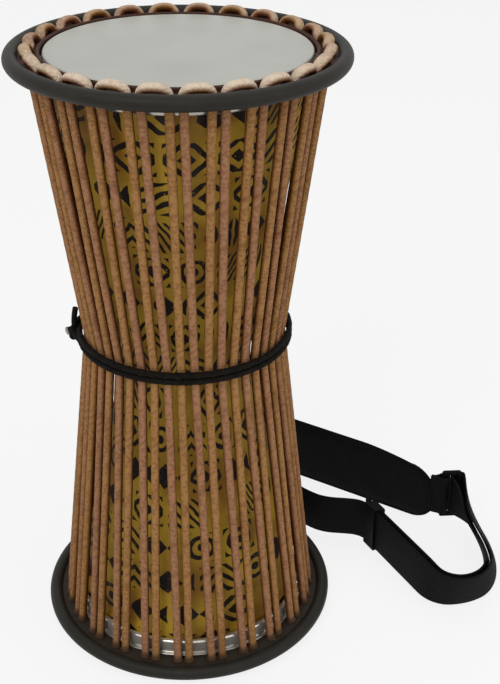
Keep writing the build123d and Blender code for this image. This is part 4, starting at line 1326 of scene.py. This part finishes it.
class DRUM_OT_upper_webbing(bpy.types.Operator):
    """Hang the upper web down the back and turn it on edge into the back ring"""
    bl_idname = "drum.upper_webbing"
    bl_label = "Upper webbing"

    def execute(self, context):
        facing, beside, _, far, _, _ = anchor_frame(UPPER_PAIR, UPPER_ANCHOR_Z)
        out = far + WEB_THICK + WEB_WIDTH / 2 + SEAT_GAP
        seat = facing * out + beside * (WEB_THICK * 1.5 + SEAT_GAP) + UP * UPPER_ANCHOR_Z
        bar = bar_place(PAD_START, BACK_WAY, 1)
        raised = bar + UP * RING_Z
        across = UP.cross(BACK_WAY)
        sewn = across * SEWN_HALF
        route = [raised + BACK_WAY * HEM_TAIL + sewn + across * HEM_LIFT, raised + BACK_WAY * HEM_FOOT + sewn]
        route += fold_points(raised, -BACK_WAY, across)[::-1]
        route += [raised + BACK_WAY * HEM_FOOT - sewn, raised + BACK_WAY * HEM_STEM - sewn]
        widths = [UP] * len(route)
        for x, y, z, twist in LIE:
            route.append(bar + Vector((x, y, z)))
            widths.append(Vector((0, math.cos(math.radians(twist)), math.sin(math.radians(twist)))))
        foot = route[-1]
        hook = seat - UP * WEB_WIDTH / 4
        for index in range(HANG_STEPS - 1, -1, -1):
            share = index / HANG_STEPS
            drift = (foot - hook) * share ** HANG_CURVE
            route.append(Vector((hook.x + drift.x, hook.y + drift.y, hook.z + (foot.z - hook.z) * share)))
            widths.append(facing)
        route.append(seat + UP * (WEB_WIDTH - SEAT_GAP))
        widths.append(facing)
        make_web("upper_web", ribbon(route, widths, 5), "upper_webbing")
        return {"FINISHED"}


class DRUM_OT_anchors(bpy.types.Operator):
    """Sew the web loops that tie the strap to the cords"""
    bl_idname = "drum.anchors"
    bl_label = "Anchors"

    def execute(self, context):
        for end, pair, low, reach in (("lower", LOWER_PAIR, LOWER_ANCHOR_Z, LOWER_ANCHOR_REACH),
                                      ("upper", UPPER_PAIR, UPPER_ANCHOR_Z, None)):
            facing, beside, near, far, half, clear = anchor_frame(pair, low)
            route = loop_route(facing, beside, near, reach or far, half, clear, low)
            make_web(end + "_anchor_loop", upright_web(route, True), end + "_anchor")
        base = UP * (UPPER_ANCHOR_Z + WEB_WIDTH / 2)
        start, end = facing * (far + WEB_THICK * 0.6) + base, facing * (far + WEB_THICK + WEB_WIDTH) + base
        steps = [start + (end - start) * (index / ANCHOR_TAB_STEPS) for index in range(ANCHOR_TAB_STEPS + 1)]
        make_web("upper_anchor_tab", upright_web(steps), "upper_anchor", 2 * WEB_THICK)
        return {"FINISHED"}


CAMERA_AT = Vector((0.0257, -0.7857, 0.6654))
CAMERA_PITCH, CAMERA_YAW, CAMERA_ROLL, CAMERA_LENS = 28.8, 1.65, 0.5, 63.34
# Half the floor's side in metres, and how much of what the camera sees of it is its own white
FLOOR_HALF, FLOOR_WHITE = 60, 0.82
# The world's light, and what is added to it where the camera sees it, to match the far floor
WORLD_LIGHT, WORLD_SEEN = 0.45, 0.443
# Name, place, size and power of each lamp, all turned to one point
LAMPS = (("key", (-0.7, -1.5, 1.7), 1.0, 14.5), ("fill", (1.6, -1.0, 1.0), 1.2, 6),
         ("top", (0.1, 0.5, 2.2), 1.4, 5.5))
LAMPS_AIM = Vector((0.03, 0, 0.22))


class DRUM_OT_stage(bpy.types.Operator):
    """Set the floor, the light and the camera"""
    bl_idname = "drum.stage"
    bl_label = "Stage"

    def execute(self, context):
        scene = context.scene
        scene.view_settings.view_transform = "Standard"
        self.lay_floor(scene)
        self.set_light(scene)
        self.set_camera(scene)
        return {"FINISHED"}

    def seen(self, tree):
        """1 where the camera sees a surface, straight or in a reflection."""
        path = tree.nodes.new("ShaderNodeLightPath").outputs
        return calc(tree, "MAXIMUM", path["Is Camera Ray"],
                    calc(tree, "MAXIMUM", path["Is Glossy Ray"], path["Is Transmission Ray"]))

    def lay_floor(self, scene):
        bm = bmesh.new()
        bmesh.ops.create_grid(bm, x_segments=1, y_segments=1, size=FLOOR_HALF)
        mesh = to_mesh("floor", bm)
        floor = bpy.data.objects.new("floor", mesh)
        scene.collection.objects.link(floor)
        material = bpy.data.materials.new("white_floor")
        material.use_nodes = True
        tree = material.node_tree
        tree.nodes.clear()
        paint = add_node(tree, "ShaderNodeBsdfDiffuse", {"Color": (0.9, 0.9, 0.9, 1)})
        white = add_node(tree, "ShaderNodeEmission", {"Color": (1, 1, 1, 1), "Strength": 1.0})
        share = calc(tree, "MULTIPLY", self.seen(tree), FLOOR_WHITE)
        mix = add_node(tree, "ShaderNodeMixShader", {0: share, 1: paint.outputs[0], 2: white.outputs[0]})
        add_node(tree, "ShaderNodeOutputMaterial", {"Surface": mix.outputs[0]})
        mesh.materials.append(material)

    def set_light(self, scene):
        world = bpy.data.worlds.new("studio")
        scene.world = world
        world.use_nodes = True
        tree = world.node_tree
        level = calc(tree, "MULTIPLY_ADD", self.seen(tree), WORLD_SEEN, WORLD_LIGHT)
        background = tree.nodes["Background"]
        background.inputs["Color"].default_value = (1, 1, 1, 1)
        tree.links.new(level, background.inputs["Strength"])
        for name, at, size, power in LAMPS:
            light = bpy.data.lights.new(name, "AREA")
            light.size, light.energy = size, power
            lamp = bpy.data.objects.new(name, light)
            scene.collection.objects.link(lamp)
            lamp.location = at
            aim = LAMPS_AIM - Vector(at)
            lamp.rotation_euler = aim.to_track_quat("-Z", "Y").to_euler()

    def set_camera(self, scene):
        pitch, yaw, roll = (math.radians(angle) for angle in (CAMERA_PITCH, CAMERA_YAW, CAMERA_ROLL))
        ahead = Vector((math.sin(yaw) * math.cos(pitch), math.cos(yaw) * math.cos(pitch), -math.sin(pitch)))
        level = Vector((math.cos(yaw), -math.sin(yaw), 0))
        above = level.cross(ahead)
        right = level * math.cos(roll) + above * math.sin(roll)
        above = right.cross(ahead)
        data = bpy.data.cameras.new("photo_camera")
        data.lens, data.sensor_width, data.clip_start = CAMERA_LENS, 36.0, 0.05
        camera = bpy.data.objects.new("photo_camera", data)
        scene.collection.objects.link(camera)
        turn = Matrix((right, above, -ahead)).transposed().to_4x4()
        camera.matrix_world = Matrix.Translation(CAMERA_AT) @ turn
        scene.camera = camera


OPERATORS = (DRUM_OT_shell, DRUM_OT_heads, DRUM_OT_flesh_hoops, DRUM_OT_counterhoops, DRUM_OT_rim_rings,
             DRUM_OT_bights, DRUM_OT_runs, DRUM_OT_waist_cord, DRUM_OT_pad, DRUM_OT_tabs, DRUM_OT_fittings,
             DRUM_OT_lower_webbing, DRUM_OT_upper_webbing, DRUM_OT_anchors, DRUM_OT_stage)


class DRUM_PT_panel(bpy.types.Panel):
    """Lists the drum's pieces, sizes and colours"""
    bl_idname = "DRUM_PT_panel"
    bl_label = "Talking drum"
    bl_space_type = "VIEW_3D"
    bl_region_type = "UI"
    bl_category = "Drum"

    def draw(self, context):
        for group in (context.scene.drum_sizes, context.scene.drum_colours):
            box = self.layout.box()
            for name in group.__annotations__:
                box.prop(group, name)
        for operator in OPERATORS:
            self.layout.operator(operator.bl_idname)


CLASSES = (DrumColours, DrumSizes) + OPERATORS + (DRUM_PT_panel,)


def register():
    for item in CLASSES:
        bpy.utils.register_class(item)
    bpy.types.Scene.drum_colours = PointerProperty(type=DrumColours)
    bpy.types.Scene.drum_sizes = PointerProperty(type=DrumSizes)


def unregister():
    del bpy.types.Scene.drum_sizes
    del bpy.types.Scene.drum_colours
    for item in reversed(CLASSES):
        bpy.utils.unregister_class(item)


def main():
    register()
    for operator in OPERATORS:
        group, name = operator.bl_idname.split(".")
        getattr(getattr(bpy.ops, group), name)()


if __name__ == "__main__":
    main()
